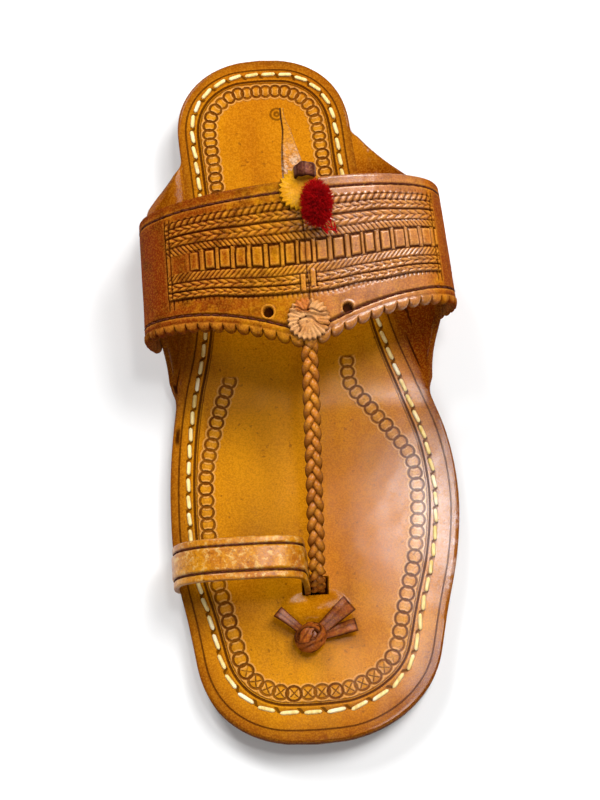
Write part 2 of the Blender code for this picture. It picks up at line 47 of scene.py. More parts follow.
# The shape of the last, as the CAD part has it
sole = {
    "length": 280.0,
    "ballWidth": 114.0,
    "bottomToTop": 10.2,  # outsole, midsole and insole with the gaps between them
    "heelRise": 10.2,
    "heelBreast": 72.0,
    "archEnd": 150.0,
    "springStart": 236.0,
    "toeSpring": 3.0,
    "heelRound": 33.0,
    "heelPower": 2.25,
    "toeRound": 34.0,
    "toePower": 2.4,
    "rows": np.array([  # share of the length, middle and half width as shares of the ball width
        (0.00, -0.091, 0.62), (0.11, -0.089, 0.62), (0.21, -0.070, 0.622), (0.29, -0.052, 0.643),
        (0.36, -0.034, 0.69), (0.43, -0.022, 0.765), (0.50, -0.012, 0.872), (0.57, 0.003, 0.957),
        (0.66, 0.009, 1.0), (0.75, 0.002, 0.97), (0.83, -0.004, 0.885), (0.91, -0.012, 0.81),
        (1.00, -0.034, 0.72),
    ]),
}
instep = {
    "bulge": 0.6,
    "taper": 0.09,
    "earRise": 18.0,
    "heightBack": 46.0,
    "heightFront": 40.0,
    "insoleThick": 3.2,
    "bandOffset": 6.5,  # the band's outer face, out from the last
    "bandThick": 3.0,
    "backAt": 73.8,
    "backBow": 1.0,
    "frontAt": 116.8,
    "skew": 0.065,
    "middle": 2.4,
    "pointDepth": 18.0,
    "pointReach": 34.0,
    "panelReach": 42.0,
    "endTurn": math.radians(45),
}
ears = {
    "turn": math.radians(100),
    "backAt": {medial: 40.0, lateral: 31.0},
    "backFull": 74.0,
    "backPower": 1.3,
    "frontAt": 158.0,
    "frontFull": 103.0,
    "frontPower": 1.7,
}
postAt = 219.5


def ease(share):
    share = np.clip(share, 0.0, 1.0)
    return share * share * (3 - 2 * share)


def readTable(rows, column, at):  # a smooth curve through one column over the first one
    xs, ys = rows[:, 0], rows[:, column]
    slopes = np.gradient(ys, xs)
    at = np.asarray(at, float)
    i = np.clip(np.searchsorted(xs, at) - 1, 0, len(xs) - 2)
    span = xs[i + 1] - xs[i]
    t = (at - xs[i]) / span
    rise = ys[i + 1] - ys[i]
    bendIn = slopes[i] * span - rise
    bendOut = rise - slopes[i + 1] * span
    return ys[i] + rise * t + t * (1 - t) * (bendIn * (1 - t) + bendOut * t)


def walked(line):  # distance along a line of points, from its start
    return np.concatenate([[0.0], np.cumsum(np.linalg.norm(np.diff(line, axis=0), axis=1))])


def pick(at, steps, rows):  # rows of numbers read off at other distances
    return np.stack([np.interp(at, steps, column) for column in rows.T], axis=-1)


def unit(vectors):
    return vectors / np.linalg.norm(vectors, axis=-1, keepdims=True)


def directions(line):
    return unit(np.gradient(line, axis=0))


def dent(distance, half, soft):  # 1 on a line, falling off to 0
    return 1 - ease((np.abs(distance) - half) / soft)


def edgeDrop(distance, radius):  # how far a rounded edge lies below its face
    return radius - np.sqrt(np.clip(radius**2 - np.clip(radius - distance, 0, None) ** 2, 0, None))


def roundOff(distance, reach, power):
    missing = np.clip(1 - distance / reach, 0.0, 1.0) ** power
    return (1 - missing) ** (1 / power)


def soleHalf(s, inset=0.0):
    length = sole["length"] - 2 * inset
    s = np.clip(np.asarray(s, float) - inset, 0.0, length)
    half = readTable(sole["rows"], 2, s / length) * sole["ballWidth"] / 2 - inset
    heel = roundOff(s, sole["heelRound"], sole["heelPower"])
    return half * heel * roundOff(length - s, sole["toeRound"], sole["toePower"])


def soleEdge(s, side, inset=0.0):
    middle = readTable(sole["rows"], 1, np.asarray(s, float) / sole["length"]) * sole["ballWidth"]
    return middle + side * soleHalf(s, inset)


def soleBottom(s):
    s = np.asarray(s, float)
    drop = ease((s - sole["heelBreast"]) / (sole["archEnd"] - sole["heelBreast"]))
    spring = np.clip((s - sole["springStart"]) / (sole["length"] - sole["springStart"]), 0.0, None)
    return sole["heelRise"] * (1 - drop) + sole["toeSpring"] * spring**2


def insoleTop(s):
    return soleBottom(s) + sole["bottomToTop"]


frontEdges = [abs(float(soleEdge(ears["frontAt"], side))) for side in (medial, lateral)]
instepHalfWidth = max(frontEdges) + instep["bulge"]


def place(x, s, z):
    x, s, z = np.broadcast_arrays(x, s, z)
    return np.stack([x, sole["length"] / 2 - s, z], axis=-1).astype(float)


def earLimit(s, side):
    backAt = np.where(np.asarray(side) < 0, ears["backAt"][medial], ears["backAt"][lateral])
    back = np.clip((s - backAt) / (ears["backFull"] - backAt), 0.0, 1.0) ** ears["backPower"]
    front = np.clip((ears["frontAt"] - s) / (ears["frontAt"] - ears["frontFull"]), 0.0, 1.0)
    return ears["turn"] * back * front ** ears["frontPower"]


def crownHeight(s):
    frontAt = instep["frontAt"] + instep["pointDepth"]
    back = insoleTop(instep["backAt"]) + instep["heightBack"]
    front = insoleTop(frontAt) + instep["heightFront"]
    top = back + (front - back) * (s - instep["backAt"]) / (frontAt - instep["backAt"])
    return top - insoleTop(s) - instep["earRise"]


def sectionPoint(s, side, turn, offset):  # a point round the instep, turn 0 at the sole's edge
    s, side, turn, offset = np.broadcast_arrays(s, side, turn, offset)
    edge = np.where(side < 0, soleEdge(s, medial), soleEdge(s, lateral))
    half = instepHalfWidth - np.where(side > 0, instep["taper"], 0) * np.clip(instep["frontAt"] - s, 0, None)
    low = turn <= math.pi / 2
    reach = np.where(low, half - np.abs(edge), half)
    rise = np.where(low, instep["earRise"], crownHeight(s))
    x = np.where(low, edge, 0) + side * reach * np.sin(turn)
    z = insoleTop(s) + instep["earRise"] - rise * np.cos(turn)
    outX, outZ = side * rise * np.sin(turn), -np.abs(reach) * np.cos(turn)
    size = np.hypot(outX, outZ)
    return place(x + outX / size * offset, s, z + outZ / size * offset)


def bandTurns(side, samples=400):  # distances over the band from its top, and their turns
    turns = np.linspace(math.pi, instep["endTurn"], samples)
    middle = (instep["backAt"] + instep["frontAt"]) / 2
    return walked(sectionPoint(middle, side, turns, instep["bandOffset"])), turns


bandReach = {side: bandTurns(side) for side in (medial, lateral)}
bandWidth = instep["frontAt"] - instep["backAt"]
bandEnds = -bandReach[medial][0][-1], bandReach[lateral][0][-1]


def onBand(across, s, lift):  # a point over the band's outer face
    across = np.asarray(across, float)
    inner, outer = (np.interp(np.abs(across), *bandReach[side]) for side in (medial, lateral))
    turn = np.where(across > 0, outer, inner)
    return sectionPoint(s, np.where(across > 0, 1.0, -1.0), turn, instep["bandOffset"] + lift)


def bandRow(w, bow, point, across):  # distance from the heel's end of a row of the band
    x = onBand(across, (instep["backAt"] + instep["frontAt"]) / 2, 0)[..., 0]
    away = np.abs(across - instep["middle"])
    bow = bow * np.exp(-((away / instep["panelReach"]) ** 2))
    point = point * np.exp(-((away / instep["pointReach"]) ** 1.2))
    back = instep["backAt"] - instep["backBow"] * (x / instepHalfWidth) ** 2 * (1 - w)
    return back + (instep["frontAt"] - back) * w - instep["skew"] * x + (bow + point) * instep["pointDepth"]


# Mesh making

def finishMesh(mesh, sharp):  # faces out, smooth but for real corners
    bm = bmesh.new()
    bm.from_mesh(mesh)
    bmesh.ops.recalc_face_normals(bm, faces=bm.faces)
    if bm.calc_volume(signed=True) < 0:
        bmesh.ops.reverse_faces(bm, faces=bm.faces)
    bm.to_mesh(mesh)
    bm.free()
    mesh.shade_smooth()
    mesh.set_sharp_from_angle(angle=math.radians(sharp))


def showPiece(name, mesh, material):
    piece = bpy.data.objects.new(name, mesh)
    bpy.context.scene.collection.objects.link(piece)
    if material:
        mesh.materials.clear()
        mesh.materials.append(material)
    return piece


def skin(name, points, material, values=None, maps=None, caps=(False, False), sharp=50):
    # rows of points become one mesh, and points that coincide become one vertex
    rows, cols = points.shape[:2]
    flat = points.reshape(-1, 3)
    _, first, index = np.unique(
        np.round(flat * 1e4).astype(np.int64), axis=0, return_index=True, return_inverse=True
    )
    index = index.reshape(rows, cols)
    after = np.roll(index, -1, axis=1)
    quads = np.stack([index[:-1], after[:-1], after[1:], index[1:]], axis=-1).reshape(-1, 4)
    doubled = (quads == np.roll(quads, 1, axis=1)).any(axis=1)
    faces = quads[~doubled].tolist()
    loose = [row.tolist() for row in quads[doubled]]
    loose += [index[end].tolist() for end, wanted in zip((0, -1), caps) if wanted]
    for ring in loose:
        corners = [c for i, c in enumerate(ring) if c != ring[i - 1]]
        if len(set(corners)) == len(corners) > 2:
            faces.append(corners)
    mesh = bpy.data.meshes.new(name)
    mesh.from_pydata((flat[first] * mm).tolist(), [], faces)
    for key, value in (values or {}).items():
        layer = mesh.attributes.new(key, "FLOAT", "POINT")
        layer.data.foreach_set("value", np.ascontiguousarray(value.reshape(-1)[first], np.float32))
    corner = np.empty(len(mesh.loops), np.int32)
    mesh.loops.foreach_get("vertex_index", corner)
    starts = np.empty(len(mesh.polygons), np.int32)
    mesh.polygons.foreach_get("loop_start", starts)
    faceOf = np.repeat(np.arange(len(starts)), np.diff(np.append(starts, len(corner))))
    for key, (value, period) in (maps or {}).items():
        uv = value.reshape(-1, 2)[first][corner]
        if period:  # a face across the seam of a closed path counts on past it
            high = np.maximum.reduceat(uv[:, 0], starts)
            uv[:, 0] += period * (high[faceOf] - uv[:, 0] > period / 2)
        layer = mesh.uv_layers.new(name=key)
        layer.data.foreach_set("uv", np.ascontiguousarray(uv, np.float32).ravel())
    finishMesh(mesh, sharp)
    return showPiece(name, mesh, material)


def ballMesh(name, spotsOf):  # a fine ball, whose directions become points in millimetres
    bm = bmesh.new()
    bmesh.ops.create_icosphere(bm, subdivisions=4, radius=1)
    spots = spotsOf(unit(np.array([v.co for v in bm.verts])))
    for v, spot in zip(bm.verts, spots):
        v.co = Vector(spot) * mm
    mesh = bpy.data.meshes.new(name)
    bm.to_mesh(mesh)
    bm.free()
    finishMesh(mesh, 80)
    return mesh


def dress(piece, node=None):  # what the frame is told of a finished piece
    if node:
        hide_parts(node)
    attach(piece, "root")


def smoothNoise(x, y, seed, cell=1.0):  # even lumps of about one cell, from -1 to 1
    table = np.random.default_rng(seed).uniform(-1, 1, (64, 64))
    x, y = np.asarray(x) / cell, np.asarray(y) / cell
    i, j = np.floor(x).astype(int), np.floor(y).astype(int)
    u, v = ease(x - i), ease(y - j)
    a, b = table[i % 64, j % 64], table[(i + 1) % 64, j % 64]
    c, d = table[i % 64, (j + 1) % 64], table[(i + 1) % 64, (j + 1) % 64]
    return a + (b - a) * u + (c - a + (a - b - c + d) * u) * v


# Node trees

class Wire:  # one socket, so that maths on it reads as a formula
    def __init__(self, board, socket):
        self.board = board
        self.socket = socket

    def math(self, operation, *values):
        return self.board.node("ShaderNodeMath", {"operation": operation}, dict(enumerate(values)))

    def __add__(self, other):
        return self.math("ADD", self, other)

    def __sub__(self, other):
        return self.math("SUBTRACT", self, other)

    def __rsub__(self, other):
        return self.math("SUBTRACT", other, self)

    def __mul__(self, other):
        return self.math("MULTIPLY", self, other)

    def __truediv__(self, other):
        return self.math("DIVIDE", self, other)

    def __pow__(self, other):
        return self.math("POWER", self, other)

    def __abs__(self):
        return self.math("ABSOLUTE", self)

    __radd__ = __add__
    __rmul__ = __mul__

    def fract(self):
        return self.math("FRACT", self)

    def most(self, other):
        return self.math("MAXIMUM", self, other)

    def other(self, key):  # another output of the same node
        return Wire(self.board, self.socket.node.outputs[key])

    def step(self, low, high, a=0.0, b=1.0):  # a smooth step from a at low to b at high
        settings = {"interpolation_type": "SMOOTHSTEP"}
        return self.board.node("ShaderNodeMapRange", settings, {0: self, 1: low, 2: high, 3: a, 4: b})

    def near(self, low, high):  # 1 up to low from zero on both sides, 0 from high on
        return abs(self).step(low, high, 1.0, 0.0)


class Board:  # a node tree that is written as it is wired
    def __init__(self, tree):
        self.tree = tree

    def node(self, kind, settings=None, values=None, out=0):
        made = self.tree.nodes.new(kind)
        for key, value in (settings or {}).items():
            setattr(made, key, value)
        for key, value in (values or {}).items():
            if isinstance(value, Wire):
                self.tree.links.new(value.socket, made.inputs[key])
            else:
                made.inputs[key].default_value = value
        return Wire(self, made.outputs[out])


class Finish(Board):  # a material
    def __init__(self, name, roughness=0.5, coatRoughness=0.3, specular=0.03, coatIndex=1.5):
        self.material = bpy.data.materials.new(name)
        self.material.use_nodes = True
        super().__init__(self.material.node_tree)
        self.shader = self.tree.nodes["Principled BSDF"]
        constants = {
            "Roughness": roughness, "Coat Roughness": coatRoughness, "Coat IOR": coatIndex,
            "Specular IOR Level": specular,
        }
        for key, value in constants.items():
            self.shader.inputs[key].default_value = value
        self.spot = self.node("ShaderNodeTexCoord", out=3)  # Object coordinates, in metres

    def give(self, key, wire):
        self.tree.links.new(wire.socket, self.shader.inputs[key])

    def noise(self, scale, detail=3.0, roughness=0.55, stretch=None):
        spot = self.spot
        if stretch:
            spot = self.node("ShaderNodeMapping", None, {"Vector": spot, "Scale": stretch})
        values = {"Vector": spot, "Scale": scale, "Detail": detail, "Roughness": roughness}
        return self.node("ShaderNodeTexNoise", {"noise_dimensions": "3D"}, values)

    def cells(self, scale, feature="F1"):
        values = {"Vector": self.spot, "Scale": scale}
        return self.node("ShaderNodeTexVoronoi", {"feature": feature}, values)

    def mix(self, share, a, b):
        return self.node("ShaderNodeMix", {"data_type": "RGBA"}, {0: share, 6: a, 7: b}, out=2)

    def value(self, name):
        return self.node("ShaderNodeAttribute", {"attribute_name": name}, out=2)

    def uv(self, name):
        spot = self.node("ShaderNodeUVMap", {"uv_map": name})
        parts = self.node("ShaderNodeSeparateXYZ", None, {0: spot})
        return parts, parts.other(1)

    def bump(self, height, distance):
        self.give("Normal", self.node("ShaderNodeBump", None, {"Height": height, "Distance": distance}))


def tint(red, green, blue):  # a colour given on the usual 0 to 255 scale
    def linear(c):
        c /= 255
        return c / 12.92 if c <= 0.04045 else ((c + 0.055) / 1.055) ** 2.4

    return (linear(red), linear(green), linear(blue), 1.0)


leatherTints = {
    "gold": tint(204, 130, 0),
    "honey": tint(184, 104, 0),
    "amber": tint(146, 66, 0),
    "brown": tint(92, 40, 3),
    "dark": tint(48, 14, 2),
    "pale": tint(214, 150, 44),
    "cream": tint(246, 222, 156),
    "thread": tint(60, 24, 16),
    "wool": tint(150, 6, 10),
    "woolInShade": tint(70, 3, 8),
    "lining": tint(120, 112, 74),
}


def leatherGrain(finish, colour, darkMarksAndShade, coat, depth, gloss, extra=0.0):
    # pores, cloudy dye and dark specks, as every dyed leather here has; marks and painted shade stay dark and
    # dull
    fine = finish.noise(1500, 3.0, 0.7)
    pores = finish.cells(800)
    cloud = finish.noise(38, 4.0)
    speck = finish.noise(430, 2.0, 0.6).step(0.66, 0.73)
    colour = finish.mix(cloud.step(0.38, 0.72, 0.0, 0.22), colour, leatherTints["amber"])
    colour = finish.mix(fine.step(0.44, 0.60, 0.0, 0.23), colour, leatherTints["brown"])
    colour = finish.mix(fine.step(0.54, 0.38, 0.0, 0.20), colour, leatherTints["pale"])
    colour = finish.mix(speck * 0.5, colour, leatherTints["brown"])
    finish.give("Base Color", finish.mix(darkMarksAndShade, colour, leatherTints["dark"]))
    finish.give("Coat Weight", (1 - darkMarksAndShade) * coat * fine.step(0.38, 0.60, 0.55, 1.1))
    finish.give("Roughness", cloud * 0.16 + fine * 0.14 + (gloss - 0.15))
    height = fine * 0.45 + pores * 0.6 + cloud * 0.15 + extra
    finish.bump(height, 0.00022 * depth)


# Stitches and other repeated bits, as Geometry Nodes

def newTree(name, inputs):
    tree = bpy.data.node_groups.new(name, "GeometryNodeTree")
    tree.interface.new_socket("Geometry", in_out="INPUT", socket_type="NodeSocketGeometry")
    for key, kind in inputs.items():
        tree.interface.new_socket(key, in_out="INPUT", socket_type="NodeSocket" + kind)
    tree.interface.new_socket("Geometry", in_out="OUTPUT", socket_type="NodeSocketGeometry")
    board = Board(tree)
    start = board.node("NodeGroupInput").socket.node
    return board, {socket.name: Wire(board, socket) for socket in start.outputs if socket.name}


def endTree(board, geometry, material):
    real = board.node("GeometryNodeRealizeInstances", None, {0: geometry})
    done = board.node("GeometryNodeSetMaterial", None, {0: real, "Material": material})
    end = board.tree.nodes.new("NodeGroupOutput")
    board.tree.links.new(done.socket, end.inputs[0])
    return board.tree


def runTree(name, tree, mesh, inputs):  # the tree's result as a plain mesh
    carrier = bpy.data.objects.new(name + "Carrier", mesh)
    bpy.context.scene.collection.objects.link(carrier)
    modifier = carrier.modifiers.new(name, "NODES")
    modifier.node_group = tree
    ids = {item.name: item.identifier for item in tree.interface.items_tree if item.in_out == "INPUT"}
    for key, value in inputs.items():
        modifier[ids[key]] = value
    bpy.context.view_layer.update()
    shown = carrier.evaluated_get(bpy.context.evaluated_depsgraph_get())
    done = bpy.data.meshes.new_from_object(shown)
    done.name = name
    carrier.modifiers.clear()
    bpy.data.objects.remove(carrier)
    done.shade_smooth()
    return showPiece(name, done, None)


def stitchTree():  # a rounded length of thread on every point, along its heading
    board, given = newTree("threadStitches", {
        "Thread Width": "Float", "Thread Height": "Float", "Plump": "Float", "Material": "Material",
    })
    line = board.node("GeometryNodeCurvePrimitiveLine", None, {"Start": (-0.5, 0, 0), "End": (0.5, 0, 0)})
    line = board.node("GeometryNodeResampleCurve", None, {"Curve": line, "Count": 15})
    along = board.node("GeometryNodeSplineParameter")
    round_ = (1 - abs(along * 2 - 1) ** given["Plump"]).most(0.02) ** 0.5
    line = board.node("GeometryNodeSetCurveRadius", None, {"Curve": line, "Radius": round_})
    ring = board.node("GeometryNodeCurvePrimitiveCircle", None, {"Resolution": 6, "Radius": 0.5})
    bead = board.node("GeometryNodeCurveToMesh", None, {
        "Curve": line, "Profile Curve": ring, "Scale": round_, "Fill Caps": True,
    })
    heading, up, size = (
        board.node("GeometryNodeInputNamedAttribute", {"data_type": kind}, {"Name": key})
        for key, kind in (("heading", "FLOAT_VECTOR"), ("up", "FLOAT_VECTOR"), ("size", "FLOAT"))
    )
    turn = board.node("FunctionNodeAlignRotationToVector", {"axis": "X"}, {"Vector": heading})
    turn = board.node("FunctionNodeAlignRotationToVector", {"axis": "Z", "pivot_axis": "X"}, {
        "Rotation": turn, "Vector": up,
    })
    sizes = {0: size, 1: given["Thread Width"], 2: given["Thread Height"]}
    scale = board.node("ShaderNodeCombineXYZ", None, sizes)
    laid = board.node("GeometryNodeInstanceOnPoints", None, {
        "Points": given["Geometry"], "Instance": bead, "Rotation": turn, "Scale": scale,
    })
    return endTree(board, laid, given["Material"])


def pointMesh(name, points, vectors, numbers):  # loose points in millimetres with what they carry
    mesh = bpy.data.meshes.new(name)
    mesh.from_pydata((np.asarray(points) * mm).tolist(), [], [])
    for key, value in vectors.items():
        layer = mesh.attributes.new(key, "FLOAT_VECTOR", "POINT")
        layer.data.foreach_set("vector", np.ascontiguousarray(value, np.float32).ravel())
    for key, value in numbers.items():
        layer = mesh.attributes.new(key, "FLOAT", "POINT")
        layer.data.foreach_set("value", np.ascontiguousarray(value, np.float32))
    return mesh


threads = stitchTree()


def sewRow(name, points, heading, up, length, width, height, plump, material):
    # points, heading and up in millimetres, one row for each stitch
    length = np.broadcast_to(length, len(points)) * mm
    mesh = pointMesh(name + "Points", points, {"heading": heading, "up": up}, {"size": length})
    return runTree(name, threads, mesh, {
        "Thread Width": width * mm, "Thread Height": height * mm, "Plump": plump, "Material": material,
    })


def darkThread():
    finish = Finish("darkThread", roughness=0.7)
    strand = finish.noise(900, 3.0, 0.6)
    colour = finish.mix(strand.step(0.3, 0.7), leatherTints["thread"], tint(96, 48, 30))
    finish.give("Base Color", colour)
    finish.bump(strand, 0.0003)
    return finish.material


darkSewing = darkThread()


def sewLine(name, line, outward, pitch, length, spread, width):  # dark stitches about a pitch apart
    steps = walked(line)
    count = round(steps[-1] / pitch)
    at = (np.arange(count) + 0.5) * steps[-1] / count
    way = unit(pick(at + 0.4, steps, line) - pick(at - 0.4, steps, line))
    way = way + 0.10 * rng.normal(0, 1, way.shape)
    if spread:
        length = length + rng.normal(0, spread, count)
    up = pick(at, steps, outward)
    piece = sewRow(name, pick(at, steps, line), way, up, length, width, 0.55, 3.0, darkSewing)
    dress(piece)


print("shape and tools ready")


# Camera: the photograph's angle to the shoe, framed on this one shoe

view = {
    "elevation": 75.0, "distance": 800.0, "roll": -3.5, "target": (-9.0, -6.0, 15.0),
    "lens": 90.5, "shift": (0.021, 0.004),
}


def makeCamera():
    angle = math.radians(view["elevation"])
    back = Vector((0, -math.cos(angle), math.sin(angle)))
    right = Vector((1, 0, 0))
    turn = Matrix((right, back.cross(right), back)).transposed()
    turn = turn @ Matrix.Rotation(math.radians(view["roll"]), 3, "Z")
    camera = bpy.data.cameras.new("camera")
    camera.sensor_fit = "VERTICAL"
    camera.sensor_height = 36.0
    camera.lens = view["lens"]
    camera.shift_x, camera.shift_y = view["shift"]
    holder = bpy.data.objects.new("camera", camera)
    bpy.context.scene.collection.objects.link(holder)
    spot = (Vector(view["target"]) + back * view["distance"]) * mm
    holder.matrix_world = Matrix.Translation(spot) @ turn.to_4x4()
    bpy.context.scene.camera = holder


makeCamera()


# Studio: pale floor, a dim room and four soft lamps

studio = {
    "floor": (0.86, 0.86, 0.86, 1.0),
    "room": 0.11,
    "lamps": [  # name, place in metres, size in metres, watts
        ("lampTop", (-0.46, 0.90, 0.90), 0.46, 12.0),
        ("lampOuter", (0.54, 0.42, 0.98), 0.50, 11.5),
        ("lampFront", (-0.10, -0.85, 0.90), 0.45, 3.4),
        ("lampGlare", (0.175, 0.14, 1.05), 0.15, 2.1),
    ],
}


def makeStudio():
    scene = bpy.context.scene
    world = bpy.data.worlds.new("room")
    world.use_nodes = True
    light = world.node_tree.nodes["Background"].inputs
    light["Color"].default_value = (1, 1, 1, 1)
    light["Strength"].default_value = studio["room"]
    scene.world = world
    scene.view_settings.view_transform = "Standard"
    for name, spot, size, watts in studio["lamps"]:
        lamp = bpy.data.lights.new(name, "AREA")
        lamp.size = size
        lamp.energy = watts
        holder = bpy.data.objects.new(name, lamp)
        holder.location = spot
        holder.rotation_euler = (Vector((0, 0, 0.02)) - Vector(spot)).to_track_quat("-Z", "Y").to_euler()
        scene.collection.objects.link(holder)
    floor = bpy.data.meshes.new("floor")
    floor.from_pydata([(-4, -4, 0), (4, -4, 0), (4, 4, 0), (-4, 4, 0)], [], [(0, 1, 2, 3)])
    finish = Finish("floorPaper", roughness=0.9, specular=0.1)
    finish.shader.inputs["Base Color"].default_value = studio["floor"]
    showPiece("floor", floor, finish.material)


makeStudio()


# Sole layers: outsole, midsole and heel lifts

soleLook = {
    "stations": 260,
    "rounding": 0.7,
    "topColumns": 8,
    "outsole": 4.0,  # thickness
    "midsole": (0.8, 4.3, 2.4),  # inset, height over the outsole's face, thickness
    "heelLifts": 2,
    "heelLift": (0.5, 5.1, 4.8),  # inset, pitch, thickness
}


def soleStations(count, last=280.0):  # shares of the length, close together at round ends
    share = np.linspace(0, 1, count)
    ends = 0.5 - 0.5 * np.cos(np.pi * share)
    spread = 0.6 * share + 0.4 * ends
    high = last / sole["length"]
    spread = spread[(spread > 0) & (spread < high)]
    return np.concatenate([[0.0], spread, [high]])


def slabSkin(name, node, inset, low, thick, material, last=sole["length"]):  # low gives the underside
    share = soleStations(soleLook["stations"], last)
    rounding = soleLook["rounding"]
    angles = np.linspace(0, math.pi / 2, 4)
    parts = np.linspace(-1, 1, soleLook["topColumns"])[1:-1]
    columns = []

    def column(part, back, lift):
        inside = inset + back
        s = inside + share * (sole["length"] - 2 * inside)
        edges = [soleEdge(s, side, inside) for side in (medial, lateral)]
        x = (1 - abs(part)) * (edges[0] + edges[1]) / 2 + abs(part) * edges[0 if part < 0 else 1]
        wear = 0.12 * smoothNoise(s, s * 0 + 9 * part, 3, 7.0)
        columns.append(place(x + part * wear, s, low(s) + lift))

    def side(part, order):  # the rounded edge from the top down, or back up
        falls = [(math.sin(angle), rounding * (1 - math.cos(angle))) for angle in angles]
        steps = [(sine, thick - fall) for sine, fall in falls] + falls[::-1]
        for sine, lift in steps[::order]:
            column(part, rounding * (1 - sine), lift)

    for part in parts:
        column(part, rounding, thick)
    side(1, 1)
    for part in parts[::-1]:
        column(part, rounding, 0)
    side(-1, -1)
    piece = skin(name, np.stack(columns, axis=1), material, caps=(False, last < sole["length"]))
    dress(piece, node)


def edgeLeather():  # stacked sole leather, burnished dark and streaked along its layers
    finish = Finish("edgeLeather")
    streak = finish.noise(60, 5.0, 0.65, stretch=(1, 1, 16))
    colour = finish.mix(streak.step(0.3, 0.7), tint(120, 60, 22), tint(70, 30, 12))
    leatherGrain(finish, colour, 0.0, 0.1, 1.6, 0.5, streak * 1.6)
    return finish.material


def makeSole():
    look = soleLook
    material = edgeLeather()
    slabSkin("outsoleSkin", "outsole", 0.0, soleBottom, look["outsole"], material)
    inset, lift, thick = look["midsole"]
    slabSkin("midsoleSkin", "midsole", inset, lambda s: soleBottom(s) + lift, thick, material)
    inset, pitch, thick = look["heelLift"]
    for i in range(look["heelLifts"]):
        names = f"heelLiftSkin{i + 1}", f"heel_lift_{i + 1}"
        slabSkin(*names, inset, lambda s: s * 0 + pitch * i, thick, material, sole["heelBreast"])


makeSole()
print("sole layers done")


# Insole with its ears

insoleLook = {
    "ornament": (-4.5, 24.0),  # a small round stamp at the heel
    "slits": (  # side, distance from the heel, distance from the flat part's edge, half length and width
        (-1, 156.0, 5.0, 5.0, 0.9), (-1, 136.0, 9.0, 9.0, 0.6), (1, 127.0, 8.0, 9.0, 0.7),
        (1, 112.0, 12.0, 6.0, 0.7), (-1, 66.0, 8.0, 8.0, 0.7),
    ),
    "stations": 350,
    "topColumns": 130,
    "earColumns": 26,
    "rounding": 0.7,
    "stitchInset": {  # distance of the sewn line from the edge, by distance from the heel
        medial: ((0, 6.0), (60, 6.0), (150, 7.0), (215, 7.5), (262, 10.5), (280, 11.0)),
        lateral: ((0, 6.0), (60, 6.0), (150, 9.0), (215, 9.5), (262, 10.5), (280, 11.0)),
    },
    "stitchPitch": ((0, 6.9), (215, 6.9), (262, 9.0), (280, 9.2)),
    "ringInset": 7.0,  # how far the stamped rings lie inside the sewn line
    "ringAside": {  # how far the rings stray further in at the waist, by distance from the heel
        medial: ((100, 0), (128, 5.5), (148, 3.0), (168, 0)),
        lateral: ((100, 0), (128, 13.0), (148, 6.0), (168, 0)),
    },
    "ringPitch": ((0, 3.8), (60, 4.0), (110, 4.3), (150, 4.5), (200, 4.9), (255, 5.3), (280, 5.5)),
    "bridge": (-1.5, 229.0, 13.5, 8.0, 2.8),  # x, s, half width, half length, height
    "slot": (-5.4, 4.0, 216.0, 223.0),
    "slotDepth": 2.9,
}


def insoleRelief(x, s):  # the bridge over the strands and the slot in front of it
    bx, bs, halfX, halfS, high = insoleLook["bridge"]
    away = ((x - bx) / halfX) ** 2 + ((s - bs) / halfS) ** 2
    hump = high * np.clip(1 - away, 0, 1) ** 1.4
    lowX, highX, lowS, highS = insoleLook["slot"]
    hole = (x > lowX) & (x < highX) & (s > lowS) & (s < highS)
    wave = 0.06 * smoothNoise(x, s, 11, 16.0) + 0.02 * smoothNoise(x, s, 12, 5.0)
    return np.where(hole, -insoleLook["slotDepth"], hump + wave * (away > 1)), hole


def byHeel(at, table):  # a size that changes with the distance from the heel
    return np.interp(at, *zip(*table))


def aroundRing(line):  # headings along a closed line, and across it
    way = unit(np.roll(line, -1, axis=0) - np.roll(line, 1, axis=0))
    return way, np.stack([-way[:, 1], way[:, 0]], axis=-1)


def closedPath(inset, pitches):  # a line that follows the sole's outline at an inset, and its repeats
    half = sole["length"] / 2
    s = soleStations(900) * sole["length"]
    around = [place(soleEdge(s, medial), s, 0), place(soleEdge(s, lateral), s, 0)[::-1][1:-1]]
    line = np.concatenate(around)[:, :2]
    isInner = np.arange(len(line)) < len(s)
    inward = aroundRing(line)[1]
    at = half - line[:, 1]
    reach = np.where(isInner, inset(at, medial), inset(at, lateral))
    middleX = readTable(sole["rows"], 1, at / sole["length"]) * sole["ballWidth"]
    centre = np.stack([middleX, np.clip(line[:, 1], 60 - half, half - 45)], axis=-1)
    inward *= np.sign(((centre - line) * inward).sum(axis=1, keepdims=True))
    line = line + inward * reach[:, None]
    padded = np.concatenate([line[-8:], line, line[:8]])
    line = np.stack([np.convolve(column, np.ones(17) / 17, "valid") for column in padded.T], axis=-1)
    ring = np.concatenate([line, line[:1]])
    total = walked(ring)
    line = pick(np.linspace(0, total[-1], 1801)[:-1], total, ring)
    way, inward = aroundRing(line)
    inward *= np.sign((-line * inward).sum(axis=1).mean())
    gap = byHeel(half - line[:, 1], pitches)
    phase = np.concatenate([[0.0], np.cumsum(total[-1] / len(line) / gap)])
    count = round(phase[-1])
    phase *= count / phase[-1]
    return {"line": line, "way": way, "inward": inward, "phase": phase[:-1], "count": count, "pitch": gap}


def stitchInset(s, side):
    return byHeel(s, insoleLook["stitchInset"][side])


def ringInset(s, side):
    return stitchInset(s, side) + insoleLook["ringInset"] + byHeel(s, insoleLook["ringAside"][side])


sewing = closedPath(stitchInset, insoleLook["stitchPitch"])
rings = closedPath(ringInset, insoleLook["ringPitch"])


